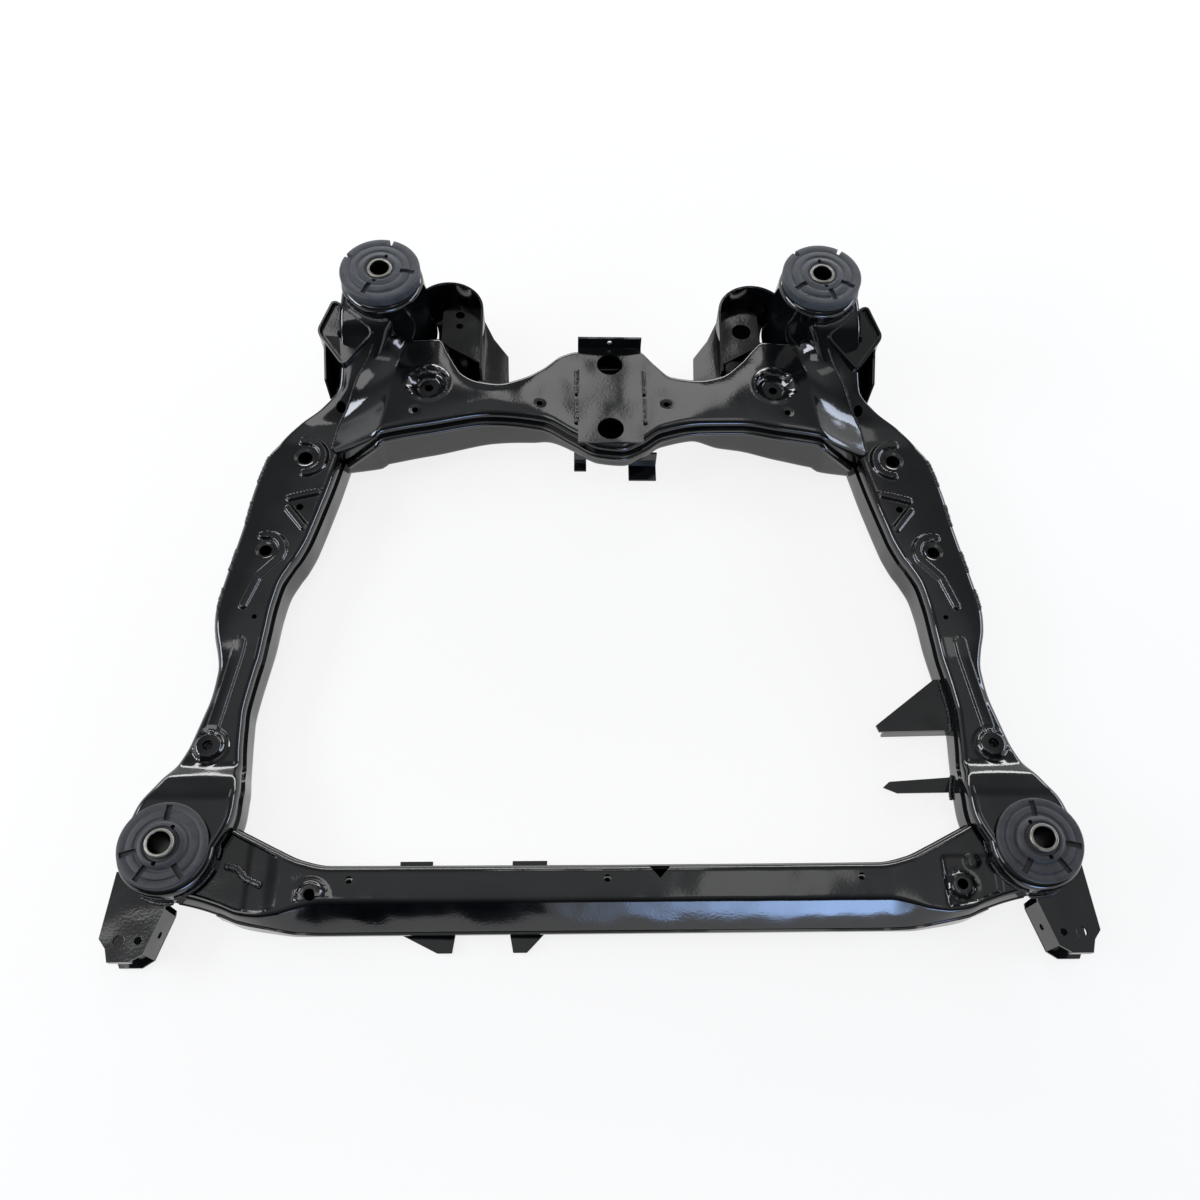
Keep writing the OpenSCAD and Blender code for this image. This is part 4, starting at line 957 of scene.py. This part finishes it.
# Closing sheets: a skirt under each cup, a pan under each arm pocket, the floor of each radiator
# bracket and rolled hems along the lips of the crossmembers. They are pressed from thin sheet, welded
# in and coated with the rest. The hems are rolled along their paths by Geometry Nodes.
def extra(made):
    """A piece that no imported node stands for."""
    done(made, dip_black)


def path_group(name, words, output):
    """A Geometry Nodes group over a path: the group, its inputs and the named numbers' identifiers."""
    group = bpy.data.node_groups.new(name, "GeometryNodeTree")
    socket = group.interface.new_socket
    socket("Path", in_out="INPUT", socket_type="NodeSocketGeometry")
    numbers = [socket(word, in_out="INPUT", socket_type="NodeSocketFloat").identifier for word in words]
    socket(output, in_out="OUTPUT", socket_type="NodeSocketGeometry")
    return group, add(group, "NodeGroupInput").outputs, numbers


def follow(name, paths, group, values):
    """What a group makes along paths of points in millimetres, as a plain mesh."""
    points, edges = [], []
    for path in paths:
        edges += [(len(points) + k, len(points) + k + 1) for k in range(len(path) - 1)]
        points += list(path)
    made = thing(name, mesh_of(name, points, edges=edges))
    modifier = made.modifiers.new("path", "NODES")
    modifier.node_group = group
    for identifier, value in values.items():
        modifier[identifier] = value
    plain(made)
    return made


rolled, given, (hem_radius,) = path_group("rolled_hem", ["Radius"], "Hem")
line = add(rolled, "GeometryNodeMeshToCurve", [("Mesh", given["Path"])])
ring = add(rolled, "GeometryNodeCurvePrimitiveCircle", [("Resolution", 12), ("Radius", given["Radius"])])
rod = add(rolled, "GeometryNodeCurveToMesh", [("Curve", line), ("Profile Curve", ring), ("Fill Caps", True)])
solid = add(rolled, "GeometryNodeRealizeInstances", [("Geometry", rod)])
coated = add(rolled, "GeometryNodeSetMaterial", [("Geometry", solid), ("Material", dip_black)])
add(rolled, "NodeGroupOutput", [("Hem", coated)])


def hem(name, path, radius):
    """A rolled edge along a path, closed at both ends."""
    made = follow(name, [path], rolled, {hem_radius: radius / 1000})
    tidy(made.data)
    smooth(made, 50)
    extra(made)


THIN = 2.0  # mm, the sheet of skirts and pans
CUP_AT, CUP_TILT = (332.0, 649.0, 132.0), math.radians(31)  # a cup's middle, and its lean backwards
CUP_CORNERS = np.array([(8, 42), (-44, 2), (-2, -42), (30, 1)], float)
CUP_CORNER_R = 9  # how far before and after a corner its rounding reaches
# rows of the skirt: growth of the cup's outline, height over its face, drop straight down
SKIRT_ROWS = ((0.99, 10, 0), (1.03, 7, 0), (1.06, 2, 0), (1.06, 0, 10), (1.05, 0, 30), (1.02, 0, 64))
POCKET_X, POCKET_Y, POCKET_R, POCKET_WALL = 201, 704, 44, (670, 634)  # its D, and its straight walls' ends
PAN_HEIGHTS, PAN_MIDDLE, PAN_DRAFT = (74, 62, 57), (201, 690), (0.92, 0.95)  # the floor is drawn in
BRACKET_RIM = [(528, -18), (534, -89), (522, -113), (498, -113), (486, -105), (471, -58), (471, -52),
               (519, -19)]
BRACKET_FLOOR = (2, 4.5)  # its underside and top
for word, side in SIDES.items():
    outline = []
    for k, here in enumerate(CUP_CORNERS):
        before, after = CUP_CORNERS[k - 1] - here, CUP_CORNERS[(k + 1) % 4] - here
        first = here + before / np.linalg.norm(before) * CUP_CORNER_R
        last = here + after / np.linalg.norm(after) * CUP_CORNER_R
        for f in np.linspace(0, 1, 7):
            outline.append((1 - f) ** 2 * first + 2 * f * (1 - f) * here + f * f * last)
    outline = np.array(outline)
    rows = []
    for grow, up, drop in SKIRT_ROWS:
        a, b = outline[:, 0] * grow, outline[:, 1] * grow
        y = CUP_AT[1] + b * math.cos(CUP_TILT) - up * math.sin(CUP_TILT)
        z = CUP_AT[2] + b * math.sin(CUP_TILT) + up * math.cos(CUP_TILT) - drop
        rows.append(places(side * (CUP_AT[0] + a), y, z))
    rows = np.array(rows)
    rows = np.concatenate([rows, rows[:, :1]], axis=1)
    made = thing(f"{word}_cup_skirt", mesh_of("skirt", rows, grid_faces(*rows.shape[:2])))
    sheet(made, THIN, UP)
    cut(made, tower_room(side))
    smooth(made, 50)
    extra(made)

    outer, inner = POCKET_X + POCKET_R, POCKET_X - POCKET_R
    wall = [(outer, POCKET_WALL[1]), (outer, POCKET_WALL[0])]
    for a in np.linspace(0, math.pi, 33):
        wall.append((POCKET_X + POCKET_R * math.cos(a), POCKET_Y + POCKET_R * math.sin(a)))
    wall += [(inner, POCKET_WALL[0]), (inner, POCKET_WALL[1])]
    wall = np.array(wall, float)
    n = len(wall)
    drawn_in = PAN_MIDDLE + (wall - PAN_MIDDLE) * PAN_DRAFT
    points = []
    for ring, height in zip((wall, wall, drawn_in), PAN_HEIGHTS):
        points += [(side * x, y, height) for x, y in ring]
    faces = grid_faces(3, n) + [tuple(range(2 * n, 3 * n))]
    made = thing(f"{word}_pocket_pan", mesh_of("pan", points, faces))
    sheet(made, THIN, UP)
    cut(made, tower_room(side))
    smooth(made, 40)
    extra(made)

    rings = [[(side * x, y, height) for x, y in BRACKET_RIM] for height in BRACKET_FLOOR]
    made = solids(f"{word}_radiator_bracket_floor", [rings])
    tidy(made.data)
    smooth(made, 18)
    extra(made)

    x = np.linspace(352, 456, 40)
    hem(f"{word}_front_end_hem", places(side * x, nose_y(x) + 0.6, nose_height(x) - 1.5), 2.2)
u = np.linspace(-1.9, 1.9, 241)
y = rear_y(u, REAR_FRONT) - SHEET - GAP
z = rear_top(u) - REAR_WALL + LAP + (foot_z(y) - REAR_FOOT) * fall(u)
hem("rear_tray_hem", places(rear_x(u, y), y - 1.4, z - 4), 4.2)


# Welds: runs of arc weld that join the pressings, left as laid and dip coated with the rest. Each
# run is strung along its joint by Geometry Nodes, as overlapping drops of uneven size.
weld_coat = dip_coat("dip_coat_on_weld_bead", "#090a0c", "#16171a", 0.14)
runs, given, (bead_width, bead_pace) = path_group("weld_run", ["Half width", "Pace"], "Weld")
line = add(runs, "GeometryNodeMeshToCurve", [("Mesh", given["Path"])])
line = add(runs, "GeometryNodeResampleCurve", [("Curve", line), ("Length", given["Pace"])], mode="LENGTH")
drop = add(runs, "GeometryNodeMeshIcoSphere", [("Radius", 1.0), ("Subdivisions", 2)])
along = add(runs, "GeometryNodeInputTangent")
facing = add(runs, "FunctionNodeAlignRotationToVector", [("Vector", along)], axis="X")
uneven = add(runs, "FunctionNodeRandomValue", [(0, (0.45, 0.8, 0.5)), (1, (0.7, 1.15, 0.8)), ("Seed", 7)],
             data_type="FLOAT_VECTOR")
size = add(runs, "ShaderNodeVectorMath", [(0, uneven), ("Scale", given["Half width"])], operation="SCALE")
inputs = [("Points", line), ("Instance", drop), ("Rotation", facing), ("Scale", size)]
strung = add(runs, "GeometryNodeInstanceOnPoints", inputs)
solid = add(runs, "GeometryNodeRealizeInstances", [("Geometry", strung)])
soft = add(runs, "GeometryNodeSetShadeSmooth", [("Geometry", solid)])
coated = add(runs, "GeometryNodeSetMaterial", [("Geometry", soft), ("Material", weld_coat)])
add(runs, "NodeGroupOutput", [("Weld", coated)])
WELD_PACE = 1.7  # mm from drop to drop


def weld(name, paths, width):
    """Weld runs of so many millimetres in width."""
    made = follow(name, paths, runs, {bead_width: width / 2000, bead_pace: WELD_PACE / 1000})
    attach(made, "root")


def pad_arc(side, a0, a1, z):
    """An arc just outside a front pad, from the outer side of the part at 0 degrees."""
    angles = [math.radians(a) for a in np.linspace(a0, a1, 24)]
    r = PAD_R + 1
    return [(side * (FRONT_X + r * math.cos(a)), r * math.sin(a), z) for a in angles]


SEAMS = ((492, 19), (428, 15), (360, 14), (307, 13))  # middle and half length along the rails
PAD_RUNS = ((150, 188), (202, 254))  # first and last angle round a front pad
seams, feet, pads, towers, brackets, plate = [], [], [], [], [], []
for side in (-1, 1):
    for middle, half in SEAMS:
        y = np.linspace(middle - half, middle + half, 12)
        s = station(y)
        seams.append(places(side * (rail_x(s, RAIL_OUTER) - 4.5), y, curve(s, RAIL_TOP) - 1.0))
    y = np.linspace(524, 636, 36)
    feet.append(places(side * (rail_x(station(y), RAIL_INNER) + 13.5), y, lap_z(y) - 0.4))
    for a0, a1 in PAD_RUNS:
        pads.append(pad_arc(-side, a0, a1, CM_Z + 0.8))
    # the tower's radius depends on the height of the rail's top, and the other way round
    w = np.radians(np.linspace(204, 322, 40))
    z = 0 * w + 140
    for _ in range(6):
        r = PAD_R + 1 + TOWER_SLOPE * (REAR_PAD - EDGE_R - z)
        z = curve(station(PITCH_Y + r * np.sin(w)), RAIL_TOP)
    x, y = REAR_X + r * np.cos(w), PITCH_Y + r * np.sin(w)
    s = station(y)
    on = (x > rail_x(s, RAIL_INNER) + 4) & (x < rail_x(s, RAIL_OUTER) - 4)
    towers.append(places(side * x, y, z + 0.5)[on])
    brackets.append(pad_arc(side, -98, -62, 43))
for y0, y1, z in ((146, 210, 31), (64, 92, 24)):
    y = np.linspace(y0, y1, 12)
    brackets.append(places(rail_x(station(y), RAIL_INNER) - SHEET - 1.5, y, z))
for x in (-32, 53):
    for y0, y1 in ((531, 566), (576, 610)):
        plate.append([(x, y, 110) for y in np.linspace(y0, y1, 8)])
weld("rail_seam_welds", seams, 5.5)
weld("crossmember_foot_welds", feet, 4.5)
weld("front_pad_welds", pads, 5)
weld("tower_welds", towers, 6)
weld("front_end_weld", [[(-408, -16, 54.5), (-396, -19, 54.5), (-386, -30, 54.5), (-370, -37, 56)]], 9)
weld("bracket_welds", brackets, 5)
weld("centre_plate_welds", plate, 7.5)
